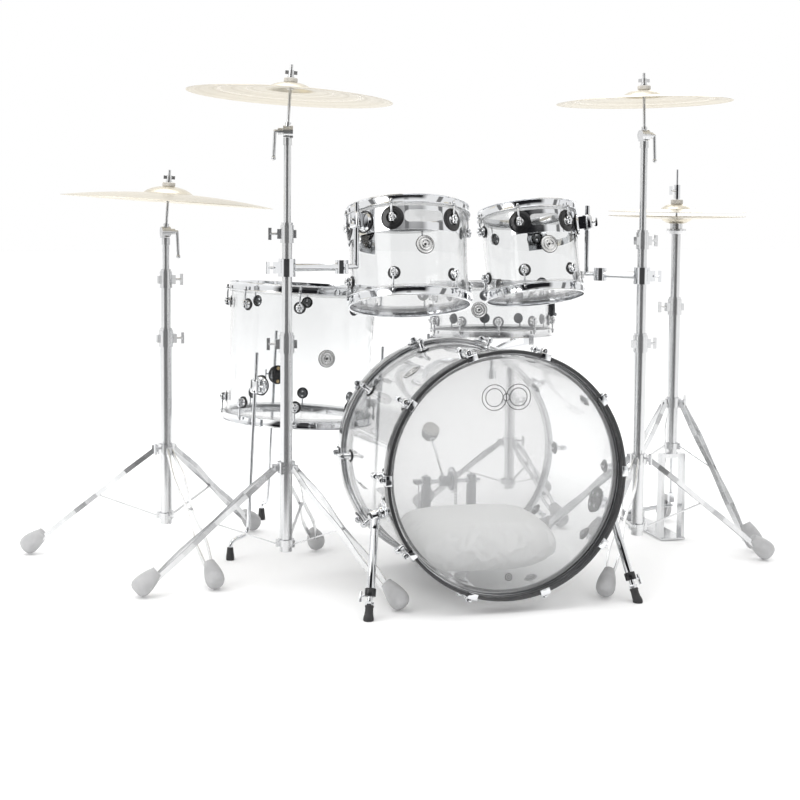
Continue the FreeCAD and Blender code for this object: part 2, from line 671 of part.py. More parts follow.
def cymbal_stand(name, cymbal_name, spec, heights, disc, wing_angle):
    """A three-section stand with its tilter and cymbal."""
    x, y = spec["at"]
    here = on_floor(x, y)
    low_joint, high_joint = heights["joint_low"], heights["joint_high"]
    stand = name + "_stand"
    tripod(stand, spec, LOWER_TUBE, low_joint - 22, LOWER_BORE)
    keep(stand, moved(tube_joint(MIDDLE_TUBE, LOWER_TUBE, low_joint, wing_angle), here))
    middle = pipe((0, 0, low_joint - 120), (0, 0, high_joint - 22), MIDDLE_TUBE, MIDDLE_BORE)
    keep(stand, moved(middle, here))
    keep(stand, moved(tube_joint(UPPER_TUBE + TUBE_GAP, MIDDLE_TUBE, high_joint, wing_angle), here))

    pivot = heights["tilter"]
    tube = pipe((0, 0, high_joint - UPPER_TUBE_INSIDE), (0, 0, pivot - 24), UPPER_TUBE, UPPER_BORE)
    socket = rod((0, 0, pivot - 34), (0, 0, pivot - 15), 11)
    fork = block((-13, -9, pivot - 16), (-4.3, 9, pivot))
    cheek = rod((-13, 0, pivot), (-4.3, 0, pivot), 14)
    pin = rod((-5, 0, pivot), (24, 0, pivot), 4)
    handle_hub = rod((11.5, 0, pivot), (24, 0, pivot), 8)
    lever = joined(
        rod((20, 0, pivot), (31, 0, pivot), 4.2), ball((31, 0, pivot), 4.2),
        rod((31, 0, pivot), (34, 0, pivot - 66), 4.2), ball((34, 0, pivot - 66), 6),
    )
    upper = joined(tube, socket, fork, cheek, pin, handle_hub, lever)
    keep(name + "_upper_tube", moved(turned(upper, wing_angle), here))

    tilt = FreeCAD.Placement(V(x, y, pivot), Turn(V(0, 0, 1), wing_angle))
    disc_half = rod((-3.8, 0, 0), (11, 0, 0), 14).cut(rod((-10, 0, 0), (20, 0, 0), 4.4))
    lean = place((x, y, pivot), heights["lean"])
    seat = heights["post"]
    post = rod((0, 0, 10), (0, 0, seat + 44), 3.9)
    root = rod((0, 0, 8), (0, 0, 22), 7.5).cut(block((-20, -20, -40), (20, 20, 8)))
    cup = rod((0, 0, seat - 16.4), (0, 0, seat - 11.4), 9)
    sleeve = rod((0, 0, seat - 12), (0, 0, seat + 20), 5.4)
    washer = rod((0, 0, seat + 12.5), (0, 0, seat + 14.5), 9)
    nut = rod((0, 0, seat + 14.5), (0, 0, seat + 30), 7)
    ears = strap((-15, 0, seat + 24), (15, 0, seat + 24), 5, 9, (0, 1, 0))
    half = moved(disc_half, tilt)
    stem = joined(post, root, cup, sleeve, washer, nut, ears)
    gap_cut = moved(rod((-40, 0, 0), (-3.8, 0, 0), 17), tilt)
    gap_far = moved(rod((11, 0, 0), (40, 0, 0), 17), tilt)
    pin_cut = moved(rod((-10, 0, 0), (20, 0, 0), 4.4), tilt)
    keep(name + "_tilter", joined(half, moved(stem, lean).cut([gap_cut, gap_far, pin_cut])))

    held = place((x, y, pivot), heights["lean"]).multiply(on_floor(0, 0, seat))
    keep(cymbal_name, moved(disc, held))
    keep(cymbal_name, moved(felt(0.05, 11, 17), held))
    keep(cymbal_name, moved(felt(-CYMBAL_THICKNESS - 8.5, -CYMBAL_THICKNESS - 0.05, 17), held))


def tom_arm(name, stand, height, direction, length):
    """The clamp on a stand tube that carries a rack tom's rod in a ball socket."""
    x, y = stand["at"]
    clamp = pipe((0, 0, -22), (0, 0, 22), MIDDLE_TUBE + 9, MIDDLE_TUBE + 0.1)
    tail = block((-34, -9, -14), (-MIDDLE_TUBE - 6, 9, 14))
    tail_bolt = wing_bolt(30, 0, 180)
    neck = rod((MIDDLE_TUBE + 6, 0, 0), (length - 14, 0, 0), 10)
    cheek = rod((length, 0, -17), (length, 0, 17), 17)
    socket = cheek.cut(ball((length, 0, 0), TOM_BALL + 0.55))
    socket = socket.cut(rod((length, 0, 0), (length + 40, 0, 0), TOM_ROD_RADIUS + 0.4))
    neck = neck.cut(ball((length, 0, 0), TOM_BALL + 0.55))
    screw = shifted(wing_bolt(14, -3, -90, 0.8), length, 0, 0)
    whole = joined(clamp, tail, tail_bolt, neck, socket, screw)
    spot = FreeCAD.Placement(V(x, y, height), Turn(V(0, 0, 1), direction))
    keep(name, moved(whole, spot))


def aim(start, end):
    """Direction and level distance from one point of the floor to another."""
    dx = end[0] - start[0]
    dy = end[1] - start[1]
    return math.degrees(math.atan2(dy, dx)), math.hypot(dx, dy)


def tom_grip(diameter, depth, angle, centre, lean):
    """Where the rod passes through a rack tom's mount."""
    reach = diameter / 2 + MOUNT_GRIP_REACH
    return place(centre, lean).multVec(V(*polar(reach, angle, depth / 2 - LUG_INSET)))


def tom_mount(name, diameter, depth, angle, centre, lean, ball_centre):
    """The band that hangs a rack tom by its upper lugs, its plate and the bent tom rod."""
    radius = diameter / 2
    half = depth / 2
    inner = radius + MOUNT_BAND_GAP
    outer = inner + MOUNT_BAND_WALL
    top = half - MOUNT_BAND_TOP
    low = top - MOUNT_BAND_HEIGHT
    lug_height = half - LUG_INSET
    band = lathe([(inner, low), (outer, low), (outer, top), (inner, top)])
    beyond = Part.makeBox(900, 450, 400, V(-450, 27, -200))
    band = band.cut(turned(beyond, angle + 90))
    width = radius * 0.66
    window = block((radius - 20, -width / 2, low + 19), (radius + 40, width / 2, top - 11))
    window = window.makeFillet(12, [edge for edge in window.Edges if abs(edge.tangentAt(0).x) > 0.9])
    clearance = rod((radius, 0, lug_height), (radius + 30, 0, lug_height), 17)
    cuts = [turned(window, angle + step) for step in (-60, 60)]
    cuts += [turned(clearance, angle + step) for step in (-90, -30, 30, 90)]
    band = band.cut(cuts)
    plate = rod((outer - 1, 0, lug_height), (outer + 6, 0, lug_height), 21)
    body = block((outer + 4, -13, lug_height - 17), (radius + MOUNT_GRIP_REACH + 12, 13, lug_height + 17))
    held = moved(joined(band, turned(joined(plate, body), angle)), place(centre, lean))
    grip = tom_grip(diameter, depth, angle, centre, lean)
    base = V(*ball_centre)
    elbow = V(grip.x, grip.y, base.z)
    upright = rod(elbow, grip + V(0, 0, 46), TOM_ROD_RADIUS)
    run = rod(base, elbow, TOM_ROD_RADIUS)
    keep(name, joined(held, upright, run, ball(elbow, TOM_ROD_RADIUS), ball(base, TOM_BALL)))


def tom_ball(diameter, depth, centre, lean, mount_angle, stand, arm_height):
    """Length and direction of a rack tom's arm, and the centre of its ball joint."""
    grip = tom_grip(diameter, depth, mount_angle, centre, lean)
    direction, distance = aim(stand["at"], (grip.x, grip.y))
    length = distance - TOM_ROD_RUN
    x, y, z = polar(length, direction, arm_height)
    return length, direction, (stand["at"][0] + x, stand["at"][1] + y, z)


def rack_tom(name, diameter, depth, centre, lean, mount_angle, stand, arm_height):
    """The arm and the mount of a rack tom."""
    spec = (diameter, depth, centre, lean, mount_angle, stand, arm_height)
    length, direction, ball_centre = tom_ball(*spec)
    tom_arm(name + "_arm", stand, arm_height, direction, length)
    tom_mount(name + "_mount", diameter, depth, mount_angle, centre, lean, ball_centre)


# =====================================================================================
# hi-hat
# =====================================================================================

def hihat():
    """Stand, footboard, pull rod with clutch and the two cymbals."""
    x, y = STAND_HIHAT["at"]
    here = on_floor(x, y)
    spec = STAND_HIHAT
    yoke_top = spec["low"] - 22
    tripod("hihat_stand", spec, LOWER_TUBE, HIHAT_JOINT - 22, LOWER_BORE)
    keep("hihat_stand", moved(tube_joint(MIDDLE_TUBE, LOWER_TUBE, HIHAT_JOINT, 180), here))
    cup_low = HIHAT_SEAT - 32
    upper = pipe((0, 0, HIHAT_JOINT - 90), (0, 0, cup_low + 4), MIDDLE_TUBE, 7)
    seat = lathe([(7, cup_low), (20, cup_low), (27, cup_low + 9), (27, cup_low + 14), (7, cup_low + 14)])
    felt_seat = pipe((0, 0, cup_low + 14.1), (0, 0, HIHAT_SEAT - CYMBAL_THICKNESS - 0.4), 17, 7)
    keep("hihat_stand", moved(joined(upper, seat), here), moved(felt_seat, here))
    heel_y, heel_z = HIHAT_HEEL
    toe_y, toe_z = HIHAT_TOE
    base = block((-36, -22, 0), (36, heel_y + 52, 5))
    posts = [block((low, -15, 4), (low + 9, 15, yoke_top - 10)) for low in (-36, 27)]
    bridge = block((-36, -15, yoke_top - 12), (36, 15, yoke_top - 0.2))
    heel = block((-34, heel_y + 9, 4), (34, heel_y + 52, 18))
    ears = [block((low, heel_y - 8, 4), (low + 6, heel_y + 12, heel_z + 8)) for low in (-36.5, 30.5)]
    yoke = joined(base, bridge, heel, *posts, *ears)
    keep("hihat_stand", moved(yoke.cut(rod((0, 0, 100), (0, 0, 400), 7)), here))

    slope = V(0, toe_y - heel_y, toe_z - heel_z).normalize()
    lift = V(0, slope.z, -slope.y)
    near = V(0, heel_y, heel_z)
    tip = V(0, toe_y, toe_z)
    corners = [near + V(-29, 0, 0), near + V(29, 0, 0), tip + V(24, 0, 0), tip + V(-24, 0, 0)]
    face = Part.Face(Part.makePolygon(corners + corners[:1]))
    board = shifted(face.extrude(lift * 6), 0, -lift.y * 3, -lift.z * 3)
    knuckle = rod((-30, heel_y, heel_z), (30, heel_y, heel_z), 6)
    keep("hihat_footboard", moved(joined(board, knuckle), here))

    pull = rod((0, 0, toe_z + 16), (0, 0, HIHAT_ROD_TOP), HIHAT_ROD_RADIUS)
    swivel = block((-7, -7, toe_z + 14), (7, 7, toe_z + 40))
    top_seat = HIHAT_SEAT + HIHAT_OPENING + 42
    clutch = rod((0, 0, top_seat + 13), (0, 0, top_seat + 52), 9)
    sleeve = rod((0, 0, top_seat - 14), (0, 0, top_seat + 14), 5.8)
    nut = rod((0, 0, top_seat - 22), (0, 0, top_seat - 12.5), 10)
    drop = wing_bolt(8, top_seat + 36, 200, 0.8)
    keep("hihat_rod", moved(joined(pull, swivel, clutch, sleeve, nut, drop), here))

    disc = cymbal(HIHAT_RADIUS, 44, 14, 7)
    lower = shifted(flipped(disc), 0, 0, HIHAT_SEAT - CYMBAL_THICKNESS)
    keep("hihat_bottom_cymbal", moved(lower, here))
    keep("hihat_top_cymbal", moved(shifted(disc, 0, 0, top_seat), here))
    keep("hihat_top_cymbal", moved(felt(top_seat + 0.05, top_seat + 12.8, 17), here))
    under = felt(top_seat - CYMBAL_THICKNESS - 10.8, top_seat - CYMBAL_THICKNESS - 0.05, 14)
    keep("hihat_top_cymbal", moved(under, here))


# =====================================================================================
# snare stand, basket, strainer
# =====================================================================================

def snare_stand():
    """Tripod with a sliding tube and the fixed half of the basket tilter."""
    x, y = STAND_SNARE["at"]
    here = on_floor(x, y)
    tripod("snare_stand", STAND_SNARE, LOWER_TUBE, SNARE_JOINT - 22, LOWER_BORE)
    keep("snare_stand", moved(tube_joint(MIDDLE_TUBE + TUBE_GAP, LOWER_TUBE, SNARE_JOINT, 0), here))
    post = pipe((0, 0, SNARE_JOINT - 130), (0, 0, SNARE_TILTER - 26), MIDDLE_TUBE, MIDDLE_BORE)
    neck = block((-5.6, -11, SNARE_TILTER - 34), (9, 11, SNARE_TILTER))
    cheek = rod((-5.6, 0, SNARE_TILTER), (9, 0, SNARE_TILTER), 18)
    pin = rod((-19, 0, SNARE_TILTER), (0, 0, SNARE_TILTER), 4)
    handle = wing_bolt(8, SNARE_TILTER, 0)
    keep("snare_upper_tube", moved(joined(post, neck, cheek, pin, handle), here))


def snare_basket():
    """Moving half of the tilter and three arms that hold the snare drum's lower hoop."""
    frame = place(SNARE_CENTRE, SNARE_LEAN)
    half = SNARE_DEPTH / 2
    radius = SNARE_DIAMETER / 2
    x, y = STAND_SNARE["at"]
    pivot = V(x - SNARE_TILTER_OFFSET, y, SNARE_TILTER)
    disc = rod((-18, 0, 0), (0, 0, 0), 18).cut(rod((-30, 0, 0), (20, 0, 0), 4.4))
    hub_height = -half - 62
    hub = moved(rod((0, 0, hub_height - 16), (0, 0, hub_height + 12), 22), frame)
    centre = frame.multVec(V(0, 0, hub_height))
    link = rod(pivot + V(-17.5, 0, 0), centre, 8)
    pieces = [moved(disc, on_floor(pivot.x, pivot.y, pivot.z)), hub, link]
    rim_low = -half - HOOP_RISE
    for angle in SNARE_ARMS:
        near = (14, 0, hub_height + 2)
        far = (radius + 12, 0, rim_low - 16)
        arm = strap(near, far, 14, 6, (0, 1, 0))
        cradle = block((radius - 6, -9, rim_low - 19), (radius + 20, 9, rim_low - 0.4))
        lip = block((radius + 12, -9, rim_low - 6), (radius + 20, 9, rim_low + 8))
        pieces.append(moved(turned(joined(arm, cradle, lip), angle), frame))
    screw = moved(rod((0, 0, hub_height - 62), (0, 0, hub_height - 15), 7), frame)
    knob = moved(rod((0, 0, hub_height - 84), (0, 0, hub_height - 60), 14), frame)
    keep("snare_basket", joined(*pieces, screw, knob))


def snare_strainer():
    """Snare wires under the lower head, the butt plate and the strainer with its lever."""
    frame = place(SNARE_CENTRE, SNARE_LEAN)
    half = SNARE_DEPTH / 2
    radius = SNARE_DIAMETER / 2
    skin = -half - 0.9
    wires = block((-150, -21, skin - 1.6), (150, 21, skin))
    body = block((radius + 0.4, -13, -34), (radius + 13, 13, 34))
    knob = rod((radius + 6.6, 0, 33), (radius + 6.6, 0, 46), 5.6)
    butt = block((-radius - 12, -12, -30), (-radius - 0.4, 12, 14))
    for piece in (wires, joined(body, knob), butt):
        keep("snare_strainer", moved(turned(piece, SNARE_STRAINER_ANGLE), frame))
    arm = block((radius + 13.4, -6, -22), (radius + 19, 6, 44))
    eye = rod((radius + 19, -8, -20), (radius + 19, 8, -20), 5)
    tip = rod((radius + 18, 0, 40), (radius + 18, 0, 58), 5)
    keep("snare_lever", moved(turned(joined(arm, eye, tip), SNARE_STRAINER_ANGLE), frame))


# =====================================================================================
# build the kit
# =====================================================================================

bass_drum()
spur(-1, "left")
spur(1, "right")
keep("bass_drum_pillow", pillow())
kick_pedal()

flanged_drum("floor_tom", FLOOR_DIAMETER, FLOOR_DEPTH, FLOOR_LUGS, FLOOR_FIRST_LUG,
             LUG_INSET, -82.0, place(FLOOR_CENTRE, FLOOR_LEAN))
floor_tom_legs()
flanged_drum("tom_left", TOM_LEFT_DIAMETER, TOM_LEFT_DEPTH, TOM_LUGS, TOM_FIRST_LUG,
             LUG_INSET, -90.0, place(TOM_LEFT_CENTRE, TOM_LEFT_LEAN))
flanged_drum("tom_right", TOM_RIGHT_DIAMETER, TOM_RIGHT_DEPTH, TOM_LUGS, TOM_FIRST_LUG,
             LUG_INSET, -88.0, place(TOM_RIGHT_CENTRE, TOM_RIGHT_LEAN))
flanged_drum("snare", SNARE_DIAMETER, SNARE_DEPTH, SNARE_LUGS, SNARE_FIRST_LUG,
             SNARE_LUG_INSET, -120.0, place(SNARE_CENTRE, SNARE_LEAN))

snare_strainer()
snare_basket()
snare_stand()
hihat()

cymbal_stand("ride", "ride_cymbal", STAND_LEFT, RIDE_STAND, cymbal(RIDE_RADIUS, 66, 19, 21), 10)
cymbal_stand("middle_crash", "middle_crash_cymbal", STAND_MIDDLE, MIDDLE_STAND,
             cymbal(CRASH_MIDDLE_RADIUS, 60, 18, 17), 170)
cymbal_stand("right_crash", "right_crash_cymbal", STAND_RIGHT, RIGHT_STAND,
             cymbal(CRASH_RIGHT_RADIUS, 58, 17, 16), 10)
rack_tom("tom_left", TOM_LEFT_DIAMETER, TOM_LEFT_DEPTH, TOM_LEFT_CENTRE, TOM_LEFT_LEAN,
         TOM_LEFT_MOUNT, STAND_MIDDLE, ARM_HEIGHT_LEFT)
rack_tom("tom_right", TOM_RIGHT_DIAMETER, TOM_RIGHT_DEPTH, TOM_RIGHT_CENTRE, TOM_RIGHT_LEAN,
         TOM_RIGHT_MOUNT, STAND_RIGHT, ARM_HEIGHT_RIGHT)

# The origin is under the middle of the whole kit, on the floor.
everything = Part.makeCompound([solid for solids in nodes.values() for solid in solids]).BoundBox
TO_ORIGIN = V(-everything.Center.x, -everything.Center.y, -everything.ZMin)

os.makedirs("parts", exist_ok=True)
for name, solids in nodes.items():
    compound = Part.makeCompound(solids)
    compound.translate(TO_ORIGIN)
    compound.exportStep("parts/%s.step" % name)
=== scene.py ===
"""Looks of the clear-shell drum kit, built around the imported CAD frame.

Pieces start from the frame's boxes and joints. The dimensions around those repeat the CAD's.
"""
import json
import math

import bpy
import bmesh
from mathutils import Matrix, Vector


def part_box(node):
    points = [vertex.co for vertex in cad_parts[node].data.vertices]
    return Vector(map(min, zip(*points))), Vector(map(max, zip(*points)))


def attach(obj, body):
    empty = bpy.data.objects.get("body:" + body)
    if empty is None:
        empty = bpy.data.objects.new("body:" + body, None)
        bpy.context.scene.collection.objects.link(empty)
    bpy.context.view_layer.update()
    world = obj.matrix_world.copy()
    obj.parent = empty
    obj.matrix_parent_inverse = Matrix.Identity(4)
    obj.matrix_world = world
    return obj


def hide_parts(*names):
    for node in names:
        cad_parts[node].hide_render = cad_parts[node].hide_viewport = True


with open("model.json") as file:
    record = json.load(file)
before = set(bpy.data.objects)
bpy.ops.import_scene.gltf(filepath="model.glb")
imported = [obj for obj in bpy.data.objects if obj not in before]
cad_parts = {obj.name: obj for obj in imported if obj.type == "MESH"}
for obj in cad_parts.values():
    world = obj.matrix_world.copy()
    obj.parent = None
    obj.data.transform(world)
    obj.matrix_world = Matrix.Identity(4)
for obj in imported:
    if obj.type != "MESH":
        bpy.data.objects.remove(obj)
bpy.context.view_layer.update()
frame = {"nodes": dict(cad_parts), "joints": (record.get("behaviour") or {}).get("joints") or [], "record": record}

MM = 0.001
TO_MM = 1 / MM
INCH_MM = 25.4
nodes = frame["nodes"]


def linked(name, data):
    """A new object of the scene that shows this data."""
    thing = bpy.data.objects.new(name, data)
    bpy.context.scene.collection.objects.link(thing)
    return thing


def centre(node):
    low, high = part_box(node)
    return (low + high) / 2


# ---- materials ----

class Nodes:
    """Short names for building a node tree."""

    def __init__(self, tree):
        self.tree = tree

    def add(self, kind, **values):
        node = self.tree.nodes.new(kind)
        for key, value in values.items():
            setattr(node, key, value)
        return node

    def link(self, source, target):
        self.tree.links.new(source, target)

    def coords(self):
        return self.add("ShaderNodeTexCoord").outputs["Object"]

    def noise(self, vector, scale, detail=3.0, stretch=None):
        if stretch is not None:
            mapping = self.add("ShaderNodeMapping")
            mapping.inputs["Scale"].default_value = stretch
            self.link(vector, mapping.inputs["Vector"])
            vector = mapping.outputs[0]
        node = self.add("ShaderNodeTexNoise")
        node.inputs["Scale"].default_value = scale
        node.inputs["Detail"].default_value = detail
        self.link(vector, node.inputs["Vector"])
        return node.outputs[0]

    def ramp(self, value, low, high, start=0.0, end=1.0):
        node = self.add("ShaderNodeMapRange")
        node.inputs["From Min"].default_value = start
        node.inputs["From Max"].default_value = end
        node.inputs["To Min"].default_value = low
        node.inputs["To Max"].default_value = high
        self.link(value, node.inputs["Value"])
        return node.outputs[0]

    def math(self, operation, a, b=None):
        node = self.add("ShaderNodeMath", operation=operation)
        for index, value in enumerate((a, b)):
            if value is None:
                continue
            if isinstance(value, (int, float)):
                node.inputs[index].default_value = value
            else:
                self.link(value, node.inputs[index])
        return node.outputs[0]

    def mix(self, share, first, second):
        node = self.add("ShaderNodeMix", data_type="RGBA")
        self.link(share, node.inputs["Factor"])
        for socket, value in ((node.inputs["A"], first), (node.inputs["B"], second)):
            if isinstance(value, tuple):
                socket.default_value = value + (1.0,)
            else:
                self.link(value, socket)
        return node.outputs["Result"]

    def bump(self, height, strength, distance):
        node = self.add("ShaderNodeBump")
        node.inputs["Strength"].default_value = strength
        node.inputs["Distance"].default_value = distance
        self.link(height, node.inputs["Height"])
        return node.outputs[0]


def material(name, color, roughness, metallic=0.0, **sockets):
    """A material with a Principled shader and the given constant sockets."""
    mat = bpy.data.materials.new(name)
    mat.use_nodes = True
    shader = mat.node_tree.nodes["Principled BSDF"]
    shader.inputs["Base Color"].default_value = color + (1.0,)
    shader.inputs["Roughness"].default_value = roughness
    shader.inputs["Metallic"].default_value = metallic
    for key, value in sockets.items():
        shader.inputs[key.replace("_", " ")].default_value = value
    return mat, shader, Nodes(mat.node_tree)


def varied(name, color, second, roughness, metallic, scale, bump=0.0, stretch=None, **sockets):
    """A finish whose colour and roughness drift a little, with a fine grain."""
    mat, shader, nt = material(name, color, roughness[0], metallic, **sockets)
    where = nt.coords()
    cloud = nt.noise(where, scale, 4.0, stretch)
    nt.link(nt.mix(nt.ramp(cloud, 0, 1, 0.3, 0.7), color, second), shader.inputs["Base Color"])
    nt.link(nt.ramp(cloud, roughness[0], roughness[1], 0.3, 0.7), shader.inputs["Roughness"])
    if bump:
        grain = nt.noise(where, scale * 12, 2.0, stretch)
        nt.link(nt.bump(grain, bump, 0.0004), shader.inputs["Normal"])
    return mat


CHROME = varied("chrome", (0.80, 0.81, 0.82), (0.74, 0.75, 0.77), (0.035, 0.09), 1.0, 18, 0.03)
SATIN = varied("satin_steel", (0.74, 0.745, 0.75), (0.66, 0.665, 0.675), (0.16, 0.26), 0.85, 26, 0.10,
               (1, 1, 0.15))
BLACK_METAL = varied("black_metal", (0.10, 0.105, 0.11), (0.14, 0.145, 0.15), (0.36, 0.5), 0.3, 40, 0.3)
GREY_LEVER = varied("grey_lever", (0.26, 0.26, 0.27), (0.33, 0.33, 0.34), (0.4, 0.55), 0.2, 50, 0.2)
FOOT_RUBBER = varied("foot_rubber", (0.40, 0.40, 0.405), (0.47, 0.47, 0.475), (0.6, 0.8), 0.0, 45, 0.4)
BLACK_RUBBER = varied("black_rubber", (0.018, 0.018, 0.019), (0.03, 0.03, 0.031), (0.45, 0.65), 0.0, 60, 0.4)
FELT = varied("felt", (0.62, 0.60, 0.56), (0.50, 0.48, 0.45), (0.9, 1.0), 0.0, 120, 0.9)
HOOP_DARK = varied("hoop_dark", (0.024, 0.024, 0.025), (0.034, 0.034, 0.036), (0.12, 0.2), 0.0, 30, 0.05,
                   Coat_Weight=0.25, Coat_Roughness=0.06)
HOOP_PALE = varied("hoop_pale", (0.66, 0.665, 0.67), (0.56, 0.565, 0.57), (0.08, 0.16), 0.85, 14, 0.05)
ACRYLIC = material("clear_acrylic", (0.915, 0.92, 0.922), 0.02, 0.0, IOR=1.3, Transmission_Weight=1.0)[0]
FILM = material("clear_film", (0.62, 0.625, 0.63), 0.12, 0.0, Alpha=0.24)[0]
BRONZE = varied("bronze", (0.88, 0.83, 0.72), (0.80, 0.74, 0.62), (0.26, 0.4), 0.75, 30, 0.1)
GLOSS_BLACK = varied("gloss_black", (0.012, 0.012, 0.013), (0.02, 0.02, 0.021), (0.08, 0.16), 0.0, 30, 0.05)
BRASS = varied("brass_screw", (0.75, 0.58, 0.33), (0.66, 0.50, 0.28), (0.15, 0.3), 1.0, 40, 0.05)
PEDAL_GREY = varied("pedal_grey", (0.27, 0.285, 0.30), (0.33, 0.345, 0.36), (0.34, 0.48), 0.5, 40, 0.2)
PEDAL_PLATE = varied("pedal_plate", (0.52, 0.53, 0.54), (0.60, 0.61, 0.62), (0.3, 0.42), 0.8, 34, 0.15)
BEATER_DARK = varied("beater_dark", (0.09, 0.09, 0.095), (0.14, 0.14, 0.145), (0.4, 0.6), 0.0, 60, 0.2)
EMBLEM_INK = varied("emblem_ink", (0.05, 0.05, 0.05), (0.08, 0.08, 0.08), (0.4, 0.5), 0.0, 80, 0.05)
BADGE = varied("badge_nickel", (0.83, 0.83, 0.82), (0.72, 0.72, 0.72), (0.16, 0.3), 0.9, 90, 0.1)
BADGE_INK = varied("badge_ink", (0.10, 0.10, 0.10), (0.14, 0.14, 0.14), (0.4, 0.5), 0.0, 90, 0.1)


def turned_bronze():
    """Lathed cymbal bronze: fine grooves round the hub, tone drifting in rings, hammer marks."""
    mat, shader, nt = material("cymbal_bronze", (0.70, 0.64, 0.52), 0.28, 0.85)
    where = nt.coords()
    split = nt.add("ShaderNodeSeparateXYZ")
    nt.link(where, split.inputs[0])
    x, y, z = split.outputs
    reach = nt.math("SQRT", nt.math("ADD", nt.math("MULTIPLY", x, x), nt.math("MULTIPLY", y, y)))
    ring = nt.add("ShaderNodeCombineXYZ")
    nt.link(reach, ring.inputs[0])
    tone = nt.noise(ring.outputs[0], 60, 5.0)
    grooves = nt.math("SINE", nt.math("MULTIPLY", reach, 2600.0))
    fine = nt.noise(ring.outputs[0], 900, 3.0)
    hammer = nt.noise(where, 45, 1.0)
    nt.link(nt.mix(nt.ramp(tone, 0, 1, 0.3, 0.7), (0.74, 0.69, 0.58), (0.58, 0.53, 0.43)),
            shader.inputs["Base Color"])
    nt.link(nt.ramp(tone, 0.24, 0.4, 0.3, 0.7), shader.inputs["Roughness"])
    uneven = nt.math("ADD", fine, nt.math("MULTIPLY", hammer, 1.5))
    height = nt.math("ADD", nt.math("MULTIPLY", grooves, 0.3), uneven)
    nt.link(nt.bump(height, 0.35, 0.0003), shader.inputs["Normal"])
    return mat


CYMBAL = turned_bronze()
CLOTH = varied("pillow_cloth", (0.93, 0.93, 0.925), (0.87, 0.87, 0.865), (0.85, 0.95), 0.0, 90, 0.5)

SLOT_MATERIALS = {
    "clear_shell": ACRYLIC, "clear_head": FILM, "hoop": HOOP_DARK, "chrome": CHROME,
    "satin_steel": SATIN, "bronze": BRONZE, "black_metal": BLACK_METAL, "rubber": FOOT_RUBBER,
    "pillow_cloth": CLOTH,
}
for part in frame["record"]["subparts"]:
    target = nodes[part["node"]]
    for slot in target.material_slots:
        slot.link = "OBJECT"
        slot.material = SLOT_MATERIALS[part["material_slot"]]

# ---- mesh tools: every one returns (vertices, faces), in metres ----

UNIT = Matrix.Identity(4)


def rounded(points, radius, steps=3, closed=True):
    """The same outline with its corners eased by short curves."""
    points = [Vector(p) for p in points]
    result = []
    count = len(points)
    for index, corner in enumerate(points):
        if not closed and index in (0, count - 1):
            result.append(corner)
            continue
        before = points[index - 1] - corner
        after = points[(index + 1) % count] - corner
        reach = min(radius, before.length * 0.48, after.length * 0.48)
        start = corner + before.normalized() * reach
        end = corner + after.normalized() * reach
        for step in range(steps + 1):
            t = step / steps
            result.append(start * (1 - t) ** 2 + corner * 2 * t * (1 - t) + end * t ** 2)
    return result


def lathe(points, sides=48, closed=False):
    """Turns (radius, height) points about Z; a closed outline makes a ring."""
    points = [Vector(p) for p in points]
    verts, rings = [], []
    for point in points:
        if point.x < 1e-7:
            rings.append([len(verts)] * sides)
            verts.append(Vector((0, 0, point.y)))
            continue
        rings.append(list(range(len(verts), len(verts) + sides)))
        for k in range(sides):
            angle = 2 * math.pi * k / sides
            verts.append(Vector((point.x * math.cos(angle), point.x * math.sin(angle), point.y)))
    faces = []
    pairs = list(zip(rings, rings[1:]))
    if closed:
        pairs.append((rings[-1], rings[0]))
    for low, high in pairs:
        for k in range(sides):
            n = (k + 1) % sides
            face = [low[k], low[n], high[n], high[k]]
            face = [v for at, v in enumerate(face) if v != face[at - 1]]
            if len(face) > 2:
                faces.append(tuple(face))
    return verts, faces


def turned(outline, ease, steps, sides, closed=False):
    """An outline of (radius, height) points with eased corners, turned about Z."""
    return lathe(rounded(outline, ease, steps, closed), sides, closed)


def turned_bar(radius, low, high, ease=0.0006, sides=24):
    """A round bar along Z with eased ends."""
    return turned([(0, low), (radius, low), (radius, high), (0, high)], ease, 2, sides)


def aim(start, end):
    """Places +Z along a line, starting at its start."""
    start, end = Vector(start), Vector(end)
    turn = (end - start).to_track_quat("Z", "Y").to_matrix().to_4x4()
    return Matrix.Translation(start) @ turn


def bar(start, end, radius, ease=0.0006, sides=24):
    """A round bar between two points."""
    length = (Vector(end) - Vector(start)).length
    return carried(turned_bar(radius, 0, length, ease, sides), aim(start, end))


def carried(part, where):
    """The same mesh taken along by a matrix."""
    return [where @ v for v in part[0]], part[1]


def tube(points, radius, sides=16):
    """A round tube along a path, with closed ends; radius may be one per point."""
    points = [Vector(p) for p in points]
    radii = radius if isinstance(radius, list) else [radius] * len(points)
    verts, faces = [], []
    normal = None
    for index, point in enumerate(points):
        ahead = points[min(index + 1, len(points) - 1)] - points[max(index - 1, 0)]
        ahead.normalize()
        if normal is None:
            normal = ahead.orthogonal().normalized()
        else:
            normal = (normal - ahead * normal.dot(ahead)).normalized()
        other = ahead.cross(normal)
        for k in range(sides):
            angle = 2 * math.pi * k / sides
            verts.append(point + (normal * math.cos(angle) + other * math.sin(angle)) * radii[index])
    for index in range(len(points) - 1):
        for k in range(sides):
            n = (k + 1) % sides
            low, high = index * sides, (index + 1) * sides
            faces.append((low + k, low + n, high + n, high + k))
    faces.append(tuple(reversed(range(sides))))
    faces.append(tuple(range(len(verts) - sides, len(verts))))
    return verts, faces


def from_bmesh(mesh):
    mesh.verts.ensure_lookup_table()
    mesh.verts.index_update()
    verts = [v.co.copy() for v in mesh.verts]
    faces = [tuple(v.index for v in f.verts) for f in mesh.faces]
    mesh.free()
    return verts, faces


